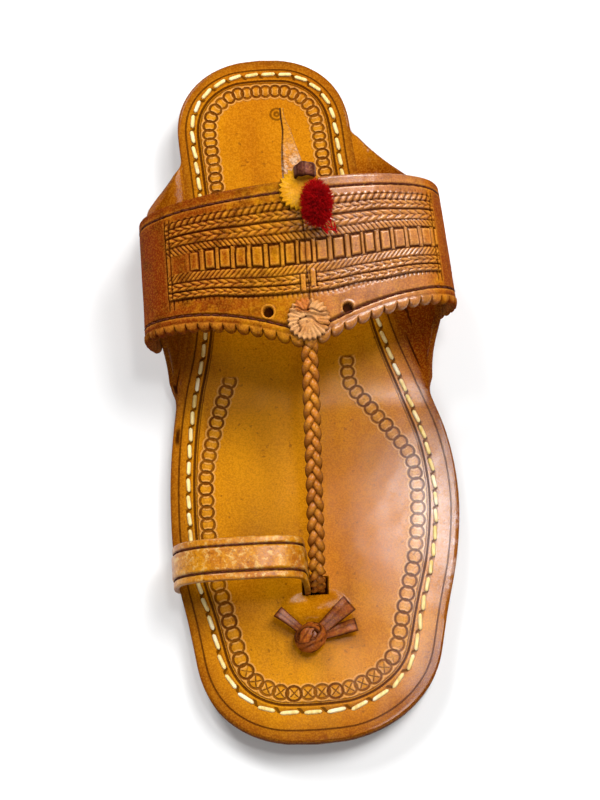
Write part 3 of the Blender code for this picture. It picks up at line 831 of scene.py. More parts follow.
def alongPath(path, x, s):  # repeat number, distance inwards and pitch of every point
    spots = np.stack([x, sole["length"] / 2 - s], axis=-1).reshape(-1, 2)
    near = np.empty(len(spots), int)
    for start in range(0, len(spots), 4000):
        part = spots[start:start + 4000]
        gaps = ((part[:, None, :] - path["line"][None]) ** 2).sum(axis=2)
        near[start:start + 4000] = gaps.argmin(axis=1)
    away = spots - path["line"][near]
    u = path["phase"][near] + (away * path["way"][near]).sum(axis=1) / path["pitch"][near]
    v = (away * path["inward"][near]).sum(axis=1)
    shape = np.shape(x)
    return u.reshape(shape), v.reshape(shape), path["pitch"][near].reshape(shape)


def insoleGrid():  # points, with their distance up the ear and whether they are on top or on the rim
    look = insoleLook
    share = soleStations(look["stations"])
    s = share * sole["length"]
    thick, rounding = instep["insoleThick"], look["rounding"]
    fractions = np.linspace(0, 1, look["earColumns"])
    limit = {side: earLimit(s, side) for side in (medial, lateral)}
    tall, weight = {}, {}  # the ears' heights along their curve, and 1 where there is an ear
    for side in (medial, lateral):
        shape = sectionPoint(s[:, None], side, limit[side][:, None] * fractions[None], 0)
        tall[side] = np.linalg.norm(np.diff(shape, axis=1), axis=2).sum(axis=1)
        weight[side] = ease(tall[side] / 3)
    columns, values = [], {"arc": [], "top": [], "rim": []}

    def add(points, arc, top, rim=0.0):
        columns.append(points)
        for key, value in (("arc", arc), ("top", float(top)), ("rim", rim)):
            values[key].append(np.broadcast_to(value, len(s)))

    def edgePoint(side, offset, back):  # on the sole's edge or on the ear's tip
        inS = back + share * (sole["length"] - 2 * back)
        flat = place(soleEdge(inS, side, back), inS, insoleTop(inS) - offset)
        tip = sectionPoint(s, side, limit[side], offset)
        way = tip - sectionPoint(s, side, np.clip(limit[side] - 0.02, 0, None), offset)
        way /= np.linalg.norm(way, axis=1, keepdims=True) + 1e-9
        there = weight[side][:, None]
        return flat * (1 - there) + (tip - way * back) * there

    def earColumn(side, fraction, offset):
        shrink = np.clip(1 - rounding / np.maximum(tall[side], 1e-6), 0, 1)
        arc = tall[side] * fraction
        wrinkle = 0.35 * smoothNoise(arc * 1.6 + s * 0.25, s * 0.30, 21, 4.0)
        wrinkle = wrinkle + 0.15 * smoothNoise(arc, s, 22, 2.0)
        lift = offset + wrinkle * ease(arc / 8) * (offset == 0)
        up = sectionPoint(s, side, limit[side] * fraction * shrink, lift)
        there = weight[side][:, None]
        return up * there + edgePoint(side, offset, rounding) * (1 - there), arc

    def earColumns(side, fractions, offset):
        for fraction in fractions:
            add(*earColumn(side, fraction, offset), offset == 0)

    def wall(side, order):
        for k in range(7)[::order]:
            offset = thick * k / 6
            back = edgeDrop(min(offset, thick - offset), rounding)
            add(edgePoint(side, offset, back), tall[side], k < 3, 1.0)

    earColumns(medial, fractions[::-1][:-1], 0)
    low, high = edgePoint(medial, 0, rounding), edgePoint(lateral, 0, rounding)
    left = low[:, 0] * (1 - weight[medial]) + soleEdge(s, medial) * weight[medial]
    right = high[:, 0] * (1 - weight[lateral]) + soleEdge(s, lateral) * weight[lateral]
    either = np.maximum(weight[medial], weight[lateral])
    y = low[:, 1] * (1 - either) + (sole["length"] / 2 - s) * either
    for part in np.linspace(0, 1, look["topColumns"]):
        x = left + (right - left) * part
        fade = np.clip(np.minimum(x - left, right - x) / 1.5, 0, 1)
        add(np.stack([x, y, insoleTop(s) + insoleRelief(x, s)[0] * fade], axis=-1), 0.0, True)
    earColumns(lateral, fractions[1:], 0)
    wall(lateral, 1)
    earColumns(lateral, np.linspace(1, 0, 10), thick)
    a, b = (earColumn(side, 0, thick)[0] for side in (medial, lateral))
    for part in np.linspace(1, 0, 12)[1:-1]:
        add(a + (b - a) * part, 0.0, False)
    earColumns(medial, np.linspace(0, 1, 10), thick)
    wall(medial, -1)
    grid = np.stack(columns, axis=1)
    values = {key: np.stack(value, axis=1) for key, value in values.items()}
    return grid, np.broadcast_to(s[:, None], grid.shape[:2]), values


def insoleLeather():
    finish = Finish("insoleLeather", coatRoughness=0.17, specular=0.0, coatIndex=1.6)
    colours = leatherTints
    patch = finish.noise(22, 4.0, 0.6, stretch=(1, 0.45, 1))
    streaks = finish.noise(140, 4.0, 0.6, stretch=(1, 0.12, 1))
    colour = finish.mix(patch.step(0.36, 0.66), colours["gold"], colours["honey"])
    # painted pool of light, a brighter gold
    colour = finish.mix(finish.value("glow") * 0.7, colour, tint(216, 142, 0))
    colour = finish.mix(streaks.step(0.55, 0.8, 0.0, 0.35), colour, colours["amber"])
    # painted shade and random mottling, mixed towards brown
    colour = finish.mix(finish.value("paintedShadeAndMottle"), colour, colours["brown"])
    earDyeAndShade = finish.value("earDyeAndShade")
    fold = finish.noise(150, 3.0, 0.5, stretch=(1, 0.10, 1)).step(0.48, 0.62)
    # painted shade in the ears' wrinkle folds
    colour = finish.mix(fold * earDyeAndShade * 0.6, colour, colours["dark"])
    colour = finish.mix(earDyeAndShade * (patch * 0.6 + 0.66), colour, tint(106, 34, 0))
    colour = finish.mix(finish.value("rimDye"), colour, tint(112, 44, 2))
    # pale patches on the lateral rim: scuffs and painted glare
    scuff = finish.noise(260, 5.0, 0.7).step(0.48, 0.62, 0.0, 0.75)
    colour = finish.mix(scuff * finish.value("scuffAndGlare"), colour, tint(200, 170, 160))
    colour = finish.mix(finish.value("rim") * 0.6, colour, colours["brown"])

    # both creases, and painted shade in the thread's bed along the sewn line
    u, v = finish.uv("sewing")
    edge = finish.value("edgeDistance")
    flat = finish.value("flat")
    crease = (v - 2.3).near(0.26, 0.62).most((v - 3.3).near(0.08, 0.34) * 0.55)
    lines = crease.most((edge - 3.3).near(0.12, 0.45) * 0.8) * flat
    local = ((u + 0.5).fract() - 0.5) * 7.0
    # painted shade in the slanted dents between stitches, and a painted contact shadow along the thread
    gapShade = (local + v * 0.7).near(0.42, 0.80) * v.near(0.9, 1.25)
    gapShade = gapShade.most(v.near(0.6, 1.3) * 0.45) * flat

    # stamped rings, each a little off, with crosses between them at the toes
    ringU, ringV = finish.uv("rings")
    pitch = finish.value("ringPitch")
    centred = (ringU.fract() - 0.5) * pitch
    number = ringU.math("FLOOR", ringU)
    strokes, lights, discHighlights = [], [], []
    for k in (-1, 0, 1):
        luck = finish.node("ShaderNodeTexWhiteNoise", {"noise_dimensions": "1D"}, {"W": number + k})
        radius = pitch * 0.22 + 1.50 + luck * 0.14
        along = (centred - pitch * k + luck * 0.3 - 0.15) * radius / (pitch * 0.5 + 0.22)
        reach = (along**2 + (ringV + luck * 0.4 - 0.2) ** 2) ** 0.5
        strokes.append((reach - radius).near(0.20, 0.60) * (luck * 0.35 + 0.65))
        # a painted highlight on a lip just outside each ring
        lights.append((reach - radius - 0.85).near(0.12, 0.55))
        discHighlights.append(reach.near(0.4, 2.2))
    ring, lipHighlight, discHighlight = (a.most(b).most(c) for a, b, c in (strokes, lights, discHighlights))
    cross = (abs(centred) - abs(ringV) * 0.9).near(0.14, 0.44) * ringV.near(1.3, 1.9)
    stamped = finish.value("stamped")
    ring = ring.most(cross * finish.value("toePart") * 0.75) * stamped
    lipHighlight = lipHighlight * stamped * (1 - ring)
    discHighlight = discHighlight * stamped
    spot = finish.value("ornament")
    badge = (spot - 2.5).near(0.25, 0.65).most((spot - 0.9).near(0.3, 0.6))
    darkMarksAndShade = lines.most(ring * 0.74).most(gapShade).most(badge * 0.8).most(finish.value("slit") * 1.2)
    # painted highlights on the rings' raised discs and lips
    colour = finish.mix(discHighlight * 0.35, colour, colours["pale"])
    colour = finish.mix(lipHighlight * 0.55, colour, tint(236, 170, 92))
    colour = finish.mix(ring.most(lines * 0.7) * 0.8, colour, tint(122, 50, 0))
    height = lipHighlight + discHighlight * 1.4 - ring * 2.8 - lines * 2.4 - gapShade * 1.5 - fold * earDyeAndShade * 1.5
    # the slot's floor painted dark as the shade inside it
    darkMarksAndShade = (darkMarksAndShade * 0.78).most(finish.value("hole"))
    leatherGrain(finish, colour, darkMarksAndShade, finish.value("gloss"), 1.0, 0.36, height)
    return finish.material


def edgeBand(x, s):  # distance past a line 7 mm inside the edge, on the flat part
    gap = np.minimum(x - soleEdge(s, medial), soleEdge(s, lateral) - x)
    return np.clip(7 - gap, 0, 7)


def hill(x, s, middle, size):  # 1 at a spot, and less the further away
    return np.exp(-(((x - middle[0]) / size[0]) ** 2) - ((s - middle[1]) / size[1]) ** 2)


def insolePaint(x, s, arc, edge):  # where the leather is dyed, worn, cut or glossy, and where shade, shadow and pools of light are painted on
    isInner = x < 0
    isLow = arc < 0.01
    inside = np.clip(edge, 0, None)
    outside = np.exp(-((inside / 7.0) ** 2))
    over = arc + edgeBand(x, s)
    # painted shadow of the band on the insole under it
    under = 0.06 * ease((s - 62) / 12) * (1 - ease((s - 128) / 22))
    under = under * (1 - ease((s - 118) / 30) * (np.abs(x) < 12))
    # painted shade beside the toe strap
    strapShadow = np.exp(-(((s - 199) / 7) ** 2)) * isInner * ease((x + 60) / 8)
    # painted shade: the band's shadow, the strap's shade and darkening towards the edges, with random
    # mottling and a darker lateral forefoot
    paintedShadeAndMottle = 0.6 * under + 0.3 * strapShadow + 0.6 * np.exp(-inside / 2.6)
    paintedShadeAndMottle = paintedShadeAndMottle + 0.16 * smoothNoise(x * 1.6, s * 0.6, 31, 20.0)
    paintedShadeAndMottle = paintedShadeAndMottle + 0.30 * ease((x - 20) / 40) * ease((s - 110) / 60) * ease((250 - s) / 60)
    # the ears' red-brown dye, with painted shade where they rise under the band
    earDyeAndShade = ease((over - 1) / 9) * ease((s - 40) / 18) * ease((172 - s) / 26) * np.where(isInner, 0.75, 1.0)
    # painted pools of light: brighter gold patches on the flat part
    glow = hill(x, s, (-14, 172), (14, 42)) + 0.8 * hill(x, s, (-10, 250), (26, 20))
    glow = glow + 0.6 * hill(x, s, (8, 40), (30, 26))
    toeRim = 0.75 * ease((s - 236) / 14) * ease((285 - s) / 20)
    rimDye = np.where(isInner, 0.55 * ease((s - 130) / 40), toeRim)
    rimDye = outside * (rimDye + 0.25 * (s < 130) + 0.15 * smoothNoise(x, s, 32, 9.0))
    # pale patches on the lateral rim: partly scuffs, partly a painted glare
    scuffAndGlare = np.exp(-((inside / 4.0) ** 2)) * (x > 0) * ease((s - 185) / 12) * ease((238 - s) / 12)
    scuffAndGlare = 0.85 * scuffAndGlare + 0.8 * hill(x, s, (47, 262), (6, 5))
    gloss = (0.30 + 0.56 * hill(x, s, (46, 186), (24, 46))) * (1 - 0.6 * earDyeAndShade)
    slit = np.zeros_like(s)
    for side, at, reach, half, wide in insoleLook["slits"]:
        away = np.hypot((s - at) / half, (over - reach) / wide)
        slit = np.maximum(slit, (1 - ease((away - 0.6) / 0.4)) * (isInner == (side < 0)))
    return {
        "paintedShadeAndMottle": np.where(isLow, np.clip(paintedShadeAndMottle, 0, 0.9), 0.2),
        "earDyeAndShade": earDyeAndShade,
        "glow": np.clip(glow, 0, 1) * isLow,
        "rimDye": np.clip(rimDye, 0, 0.8) * isLow * (1 - earDyeAndShade),
        "scuffAndGlare": np.clip(scuffAndGlare, 0, 1),
        "gloss": gloss * (1 - 0.3 * outside) * (1 - 0.75 * hill(x, s, (-1.5, 229), (14, 9))),
        "slit": slit,
        "toePart": ease((s - 246) / 10),
    }


def makeInsole():
    grid, s, values = insoleGrid()
    x, arc = grid[..., 0], values["arc"]
    isTop = values["top"] > 0.5
    flatX = np.where(x < 0, np.maximum(x, soleEdge(s, medial)), np.minimum(x, soleEdge(s, lateral)))
    u, v, _ = alongPath(sewing, flatX, s)
    ringU, ringV, ringPitch = alongPath(rings, flatX, s)
    edge = np.where(x < 0, stitchInset(s, medial), stitchInset(s, lateral)) + v
    flat = (arc <= 0.01) & isTop
    stamped = ((s < 84) | (s > np.where(x < 0, 133, 127))) & flat & (np.abs(ringV) < 4)
    ornament = insoleLook["ornament"]
    paint = insolePaint(x, s, arc, edge)
    paint["slit"] = paint["slit"] * isTop
    paint["rim"] = values["rim"]
    paint["flat"] = flat.astype(float)
    paint["stamped"] = stamped.astype(float)
    paint["edgeDistance"] = np.where(flat, edge, 50.0)
    paint["ornament"] = np.where(flat, np.hypot(x - ornament[0], s - ornament[1]), 50.0)
    paint["ringPitch"] = ringPitch
    paint["hole"] = (insoleRelief(x, s)[1] & isTop).astype(float)
    maps = {
        "sewing": (np.stack([u, v], axis=-1), sewing["count"]),
        "rings": (np.stack([ringU, ringV], axis=-1), rings["count"]),
    }
    dress(skin("insoleSkin", grid, insoleLeather(), paint, maps), "insole")


def creamThread():
    finish = Finish("creamThread", roughness=0.6)
    strand = finish.noise(700, 3.0, 0.6, stretch=(1, 0.3, 1))
    wax = finish.noise(90, 2.0)
    colour = finish.mix(strand.step(0.35, 0.75), leatherTints["cream"], tint(214, 176, 92))
    colour = finish.mix(wax.step(0.5, 0.75, 0.0, 0.7), colour, tint(255, 250, 226))
    finish.give("Base Color", colour)
    finish.bump(strand, 0.0003)
    return finish.material


def makeMarginStitches():
    numbers = np.arange(sewing["count"]) + 0.5
    line = np.concatenate([sewing["line"], sewing["line"][:1]])
    phase = np.append(sewing["phase"], sewing["count"])
    at = pick(numbers, phase, line)
    x, y = at.T
    wayX, wayY = unit(pick(numbers + 0.05, phase, line) - at).T
    pitch = np.interp(numbers, phase[:-1], sewing["pitch"])
    slant = np.radians(5 + rng.normal(0, 2.5, len(numbers)))
    wayX, wayY = wayX * np.cos(slant) - wayY * np.sin(slant), wayX * np.sin(slant) + wayY * np.cos(slant)
    s = sole["length"] / 2 - y
    rise = (insoleTop(s + 1) - insoleTop(s - 1)) / 2
    heading = np.stack([wayX, wayY, -wayY * rise], axis=-1)
    points = np.stack([x, y, insoleTop(s) + insoleRelief(x, s)[0] + 0.22], axis=-1)
    up = np.broadcast_to([0.0, 0.0, 1.0], heading.shape)
    length = pitch * 0.80 + rng.normal(0, 0.2, len(pitch))
    piece = sewRow("marginStitches", points, heading, up, length, 1.65, 1.0, 7.0, creamThread())
    dress(piece)


makeInsole()
makeMarginStitches()
print("insole done")


# Instep band: tooled panel, sewn edges and a scalloped front

bandLook = {
    "cell": 0.33,
    "sideCell": 0.75,
    "panel": (-53.0, 59.0),  # where the tooling ends on both sides
    "scallops": 36,
    "scallopDepth": 1.9,
    "rows": np.array([  # share of the width, wide bow, point
        (0.00, 0.00, 0.00), (0.15, 0.06, 0.00), (0.44, 0.28, 0.00), (0.59, 0.37, 0.00),
        (0.80, 0.42, 0.00), (0.82, 0.42, 0.02), (0.90, 0.00, 1.00), (1.00, 0.00, 1.00),
    ]),
    "zigzag": (0.185, 1.3, 2.7),  # share of the width, half height, pitch
    "braids": ((0.245, 1.15, 3.3), (0.325, 1.45, 3.9), (0.700, 1.30, 3.7), (0.770, 1.20, 3.5)),
    "hatches": ((0.400, 1.5, 1.9, -1.0), (0.622, 1.6, 2.0, 1.1)),  # the last number is the slant
    "ladder": (0.505, 2.9, 3.6, 6.2),  # share, half height of a block, of a bar, pitch
    "sewn": (0.086, 0.900),
    "eyelets": ((-12.6, 122.0), (17.4, 122.0)),
    "eyeletRadius": 2.05,
    "rim": 0.9,
}


def bandAt(w, across):
    rows = bandLook["rows"]
    return bandRow(w, np.interp(w, rows[:, 0], rows[:, 1]), np.interp(w, rows[:, 0], rows[:, 2]), across)


def scallopBump(across):
    low, high = bandEnds
    phase = ((across - low) / (high - low) * bandLook["scallops"] + 1e-6) % 1
    return bandLook["scallopDepth"] * (1.35 * np.sqrt(np.clip(1 - (2 * phase - 1) ** 2, 0, 1)) - 0.35)


def bandRelief(across, w, s):  # height over the band's plain face, and where it is stained dark or, in the eyelets, painted dark as shade
    look = bandLook
    u = across + 0.35 * smoothNoise(across, w * 40, 41, 7.0)
    wide = bandWidth
    wander = 0.25 * smoothNoise(across, w * wide, 42, 11.0)
    panel = ease((across - look["panel"][0]) / 1.0) * ease((look["panel"][1] - across) / 1.0)
    inPanel = panel * ease((w - 0.155) / 0.01) * ease((0.812 - w) / 0.01)
    h = 0.5 * inPanel
    dark = np.zeros_like(h)

    def rule(share, depth, half=0.16):  # a creased line along the band
        nonlocal h, dark
        line = dent((w - share) * wide + wander, half, 0.30) * panel
        h = h - depth * line
        dark = np.maximum(dark, 0.75 * line)

    centre, half, pitch = look["zigzag"]
    d = (w - centre) * wide + wander
    inside = dent(d, half, 0.3) * panel
    tooth = np.abs(((u + 0.8 * d) / pitch) % 1 - 0.5) * 2
    h = h + inside * (0.48 * ease((tooth - 0.25) / 0.5) - 0.22)
    dark = np.maximum(dark, inside * (1 - ease((tooth - 0.10) / 0.30)) * 0.9)

    for centre, half, pitch in look["braids"]:
        d = (w - centre) * wide + wander
        inside = dent(d, half - 0.15, 0.3) * panel
        shift = np.where(d > 0, 0.5, 0.0)
        phase = u / pitch + np.abs(d) / half * 0.62 + shift
        leaf = np.abs(np.sin(math.pi * phase)) ** 0.7
        h = h + inside * (0.62 * leaf * (1 - 0.5 * dent(d, 0.02, 0.30)) - 0.26)
        dark = np.maximum(dark, inside * ease((0.42 - leaf) / 0.30) * 0.95)
        rule(centre - (half + 0.3) / wide, 0.25)
        rule(centre + (half + 0.3) / wide, 0.25)

    for centre, half, pitch, slant in look["hatches"]:
        d = (w - centre) * wide + wander
        inside = dent(d, half - 0.1, 0.3) * panel
        ridge = np.abs((((u + slant * d) / pitch) % 1) - 0.5) * 2
        h = h + inside * (0.44 * ease(ridge / 0.6) - 0.2)
        dark = np.maximum(dark, inside * (1 - ease((ridge - 0.05) / 0.35)) * 0.85)

    centre, half, barHalf, pitch = look["ladder"]
    d = (w - centre) * wide + wander
    inside = dent(d, barHalf, 0.3) * panel * ease((across + 45) / 12) ** 0.5
    number = np.floor(u / pitch)
    cell = ((u / pitch + 0.06 * smoothNoise(number, 0 * u, 47)) % 1 - 0.5) * pitch
    block = dent(cell, 1.64 + 0.2 * smoothNoise(number, 0 * u, 48), 0.35) * dent(d, half - 0.25, 0.35)
    bar = dent(np.abs(cell) - pitch / 2, 0.55, 0.30) * dent(d, barHalf - 0.3, 0.3)
    solid = np.maximum(block, bar * 0.9)
    h = h + inside * (0.85 * solid - 0.42)
    dark = np.maximum(dark, inside * (1 - solid) * 0.95)

    rule(0.163, 0.3)
    rule(0.800, 0.35, 0.2)
    for border in look["panel"]:
        for shift in (0.0, 2.2):
            line = dent(across - border + shift * np.sign(border), 0.16, 0.35)
            line = line * ease((w - 0.12) / 0.02) * ease((0.87 - w) / 0.02)
            h = h - 0.3 * line
            dark = np.maximum(dark, 0.7 * line)
    nicks = dent(((u / 1.9) % 1 - 0.5) * 1.9, 0.15, 0.3) * dent((w - 0.812) * wide, 0.35, 0.3) * panel
    h = h - 0.18 * nicks
    dark = np.maximum(dark, 0.6 * nicks)

    # the thong's hidden end behind the band shows as a seam down the middle with two slits
    seam = dent(across - 3.0 - 0.02 * (s - 100) + 0.3 * smoothNoise(s, s * 0, 43, 6.0), 0.14, 0.35)
    seam = seam * ease((s - 84) / 3) * ease((123 - s) / 3)
    h = h - 0.35 * seam
    dark = np.maximum(dark, 0.9 * seam)
    for middle, start in ((1.4, 109.5), (5.2, 108.0)):
        inside = dent(s - start - 2.8, 2.9, 0.4)
        strip = dent(across - middle, 0.75, 0.3) * inside
        edge = dent(np.abs(across - middle) - 1.15, 0.10, 0.3) * inside
        h = h * (1 - strip) + 0.95 * strip - 0.3 * edge
        dark = np.maximum(dark * (1 - strip), 0.85 * edge)

    for share in look["sewn"]:
        line = dent((w - share) * wide + 0.5 * wander, 0.18, 0.42)
        h = h - 0.38 * line
        dark = np.maximum(dark, 0.92 * line)
    plain = (w < 0.15) | (w > 0.83)
    h = h + 0.06 * smoothNoise(across, s * 0.25, 44, 1.7) * plain + 0.10 * smoothNoise(across, s, 45, 9.0)
    h = h + 0.30 * ease((w - 0.955) / 0.012) * ease((0.998 - w) / 0.02)
    dark = np.maximum(dark, dent((w - 0.950) * wide, 0.1, 0.35) * 0.35)
    hole = np.zeros_like(h)
    for x, at in look["eyelets"]:
        reach = np.hypot(across - x, s - at)
        h = h + 0.25 * dent(reach - look["eyeletRadius"] - 0.5, 0.15, 0.4)
        # the eyelets' floors painted dark as the shade inside them
        hole = np.maximum(hole, 1 - ease((reach - look["eyeletRadius"] + 0.25) / 0.3))
    return h * (1 - hole) - 2.5 * hole, np.maximum(dark, hole)


def blur(field, passes):
    for _ in range(passes):
        field = (field + np.roll(field, 1, 0) + np.roll(field, -1, 0)) / 3
        field = (field + np.roll(field, 1, 1) + np.roll(field, -1, 1)) / 3
    return field


def bandLeather(name):
    finish = Finish(name, coatRoughness=0.26, specular=0.0, coatIndex=1.8)
    cloud = finish.noise(30, 4.0, 0.6)
    fleck = finish.noise(260, 4.0, 0.65)
    colour = finish.mix(cloud.step(0.35, 0.68), tint(180, 92, 2), tint(150, 64, 2))
    # painted shade towards the left of the band
    colour = finish.mix(finish.value("leftShadeAndStain").step(0.5, 0.95, 0.0, 0.85), colour, tint(132, 50, 0))
    colour = finish.mix(fleck.step(0.46, 0.66, 0.0, 0.55), colour, leatherTints["gold"])
    colour = finish.mix(finish.value("yellow") * fleck.step(0.30, 0.62, 0.2, 0.9), colour, tint(190, 124, 2))
    colour = finish.mix(finish.value("dye"), colour, tint(124, 38, 0))
    # raised parts lighter: partly wear, partly a painted highlight
    colour = finish.mix(finish.value("crestWearAndHighlight") * 0.60, colour, tint(236, 156, 48))
    colour = finish.mix(finish.value("inner"), colour, tint(150, 92, 44))
    # a painted pinkish sheen where the band is glossy
    colour = finish.mix(finish.value("gloss") * 0.38, colour, tint(218, 154, 104))
    # dark stains, spread by the painted left-side shade mask
    stain = finish.noise(150, 5.0, 0.7).step(0.46, 0.66, 0.0, 0.75)
    colour = finish.mix(stain * finish.value("leftShadeAndStain"), colour, tint(86, 34, 2))
    leatherGrain(finish, colour, finish.value("marksAndShade"), finish.value("gloss"), 0.9, 0.36)
    return finish.material


def makeBand():
    look = bandLook
    low, high = bandEnds
    first, last = look["panel"][0] - 2, look["panel"][1] + 2
    pitch = (high - low) / look["scallops"]
    across = []
    for i in range(look["scallops"]):
        start = low + i * pitch
        fine = first - pitch < start < last
        count = round(pitch / (look["cell"] if fine else look["sideCell"]))
        part = np.arange(count) / count
        across.append(start + pitch * (0.35 * (0.5 - 0.5 * np.cos(np.pi * part)) + 0.65 * part))
    across = np.append(np.concatenate(across), high)
    fine = np.linspace(0, 1, 2001)
    middle = bandAt(fine, np.full(2001, instep["middle"]))
    gauge = np.concatenate([[0.0], np.cumsum(np.maximum(np.diff(middle), bandWidth * np.diff(fine)))])
    w = np.interp(np.linspace(0, gauge[-1], 168), gauge, fine)
    a, b = np.meshgrid(across, w, indexing="ij")
    s = bandAt(b, a) + scallopBump(a) * ease((b - 0.955) / 0.045)
    h, dark = bandRelief(a, b, s)
    notch = np.clip(1.3 - scallopBump(a), 0, None) * 0.35 * ease((b - 0.955) / 0.03)
    edge = np.minimum(1 - b, b) * bandWidth
    edge = np.minimum(edge, np.minimum(a - low, high - a))
    outer = onBand(a, s, h - edgeDrop(edge, look["rim"]) - notch)
    soft = blur(h, 4)
    # painted shade in the hollows of the tooling, over the stained tooling lines
    marksAndShade = np.clip(np.maximum((soft - h) * 4.2, dark * 0.95), 0, 0.95)
    # painted shade in the notches between the scallops
    marksAndShade = np.maximum(marksAndShade, ease((notch - 0.12) / 0.3) * 0.85)
    # darker along the band's edges
    marksAndShade = np.maximum(marksAndShade, 0.5 * np.exp(-np.clip(edge, 0, None) / 0.9))
    # raised tooling lighter: partly wear, partly a painted highlight
    crestWearAndHighlight = np.clip((h - soft) * 5.0, 0, 1)
    columns, values = [outer], {"marksAndShade": [marksAndShade], "crestWearAndHighlight": [crestWearAndHighlight], "inner": [a * 0]}

    def more(share, lift, inner, stain=0.0):
        bump = scallopBump(across) * ease((share - 0.955) / 0.045)
        at = bandAt(np.full(len(across), share), across) + bump
        columns.append(onBand(across, at, lift)[:, None])
        for key, value in (("marksAndShade", stain), ("crestWearAndHighlight", 0.0), ("inner", inner)):
            values[key].append(np.full((len(across), 1), value))

    thick = instep["bandThick"]
    more(1.0, -1.3, 0.3, 0.35)
    more(1.0, -2.1, 0.5, 0.45)
    for share in np.linspace(0.992, 0.008, 26):
        near = min(share, 1 - share) < 0.02
        more(share, -thick + (0.25 if near else 0.0), 1.0)
    more(0.0, -2.1, 0.5, 0.35)
    more(0.0, -1.3, 0.3, 0.30)
    grid = np.concatenate(columns, axis=1)
    values = {key: np.concatenate(value, axis=1) for key, value in values.items()}
    side = np.broadcast_to(across[:, None], grid.shape[:2])
    dye = 0.75 * ease((look["panel"][0] + 1 - side) / 3) + 0.75 * ease((side - look["panel"][1] + 1) / 3)
    # painted shade: the left side of the band darker, away from the light
    dye = dye + 0.5 * ease((-side - 18) / 30)
    # painted shade on the left of the band, which also spreads the dark stains
    values["leftShadeAndStain"] = np.clip(0.95 - 0.5 * ease((side + 30) / 40) - 0.4 * values["inner"], 0, 1)
    values["yellow"] = np.exp(-(((side + 6) / 15) ** 2)) * (1 - values["inner"])
    # gloss sets the coat and also a painted sheen in the colour
    values["gloss"] = 0.04 + 0.96 * ease((side + 8) / 32) * ease((58 - side) / 12) * (1 - values["inner"])
    values["dye"] = np.clip(dye + 0.15 * smoothNoise(side, grid[..., 1], 46, 12.0), 0, 1)
    piece = skin("bandSkin", grid, bandLeather("bandLeather"), values, caps=(True, True), sharp=70)
    dress(piece, "upper")


def makeBandStitches():
    across = np.linspace(bandEnds[0] + 1.5, bandEnds[1] - 1.5, 900)
    for number, share in enumerate(bandLook["sewn"]):
        at = bandAt(np.full(900, share), across)
        line = onBand(across, at, -0.12)
        sewLine(f"bandStitches{number + 1}", line, onBand(across, at, 1.0) - line, 3.6, 3.3, 0.2, 0.75)


makeBand()
makeBandStitches()
print("band done")


# Plaited thong from the band's point down to the toe post

plaitLook = {
    "stations": 430,
    "width": 7.4,
    "thick": 4.6,
    "strandWidth": 3.1,
    "strandThick": 1.6,
    "period": 16.5,
    "heights": np.array([  # share of the way, share of the band's height over the insole
        (0.00, 1.00), (0.22, 0.90), (0.48, 0.75), (0.72, 0.57), (0.90, 0.36), (0.98, 0.17), (1.00, 0.02),
    ]),
}


def thongLine():
    start = float(bandRow(1.0, 0.0, 1.0, np.array(instep["middle"]))) - instep["bandThick"]
    top = onBand(instep["middle"], start, -2.3)
    crown = top[2] - insoleTop(start)
    along = np.linspace(0, 1, 400)
    s = start + (postAt - start) * along
    height = crown * readTable(plaitLook["heights"], 1, along)
    line = place(top[0] * (1 - along), s, insoleTop(s) + height)
    line = np.concatenate([line, [place(0.0, postAt, insoleTop(postAt) - 2.4)]])
    steps = walked(line)
    at = np.linspace(0, steps[-1], plaitLook["stations"])
    return pick(at, steps, line), at


def makePlait():
    look = plaitLook
    line, at = thongLine()
    up = unit(np.cross(directions(line), [1.0, 0.0, 0.0]))
    reach = (look["width"] - look["strandWidth"] * 1.2) / 2
    rise = (look["thick"] - look["strandThick"]) / 2
    material = bandLeather("plaitLeather")
    angles = np.linspace(0, 2 * math.pi, 15)[:-1]
    px, pz = np.cos(angles), np.sin(angles)  # a strand's outline, flat with a full top
    px, pz = np.sign(px) * np.abs(px) ** 0.8, np.sign(pz) * np.abs(pz) ** 0.7 * look["strandThick"] / 2
    pz = pz + 0.28 * (1 - px**2)
    rim = np.abs(px) ** 3
    px = px * look["strandWidth"] / 2
    for number in range(3):
        phase = 2 * math.pi * (at / look["period"] + number / 3)
        lively = 1 + 0.06 * smoothNoise(at, at * 0, 50 + number, 6.0)
        centre = line + np.sin(phase)[:, None] * reach * lively[:, None] * np.array([1.0, 0, 0])
        centre = centre + (np.sin(2 * phase) * rise)[:, None] * up
        ahead = directions(centre)
        flatUp = unit(up - (up * ahead).sum(axis=1, keepdims=True) * ahead)
        wide = np.cross(ahead, flatUp)
        grid = centre[:, None] + wide[:, None] * px[None, :, None] + flatUp[:, None] * pz[None, :, None]
        low = 0.5 - 0.5 * np.sin(2 * phase)
        shape = grid.shape[:2]
        values = {
            # painted shade on the strands' edges and where they pass under, a painted highlight on their
            # middles
            "marksAndShade": np.clip(rim[None] * 0.72 + low[:, None] ** 2 * 0.36, 0, 0.95),
            "crestWearAndHighlight": np.broadcast_to((1 - rim)[None] * 0.42, shape),
            "inner": np.zeros(shape),
            "gloss": np.full(shape, 0.2),
            "yellow": np.full(shape, 0.3),
            "dye": np.clip(0.10 + 0.3 * smoothNoise(grid[..., 1], grid[..., 0], 53, 6.0), 0, 1),
        }
        piece = skin(f"plaitStrand{number + 1}", grid, material, values, caps=(True, True), sharp=60)
        dress(piece, "upper")


makePlait()
print("plait done")


# Toe strap, arched from beside the insole to the post

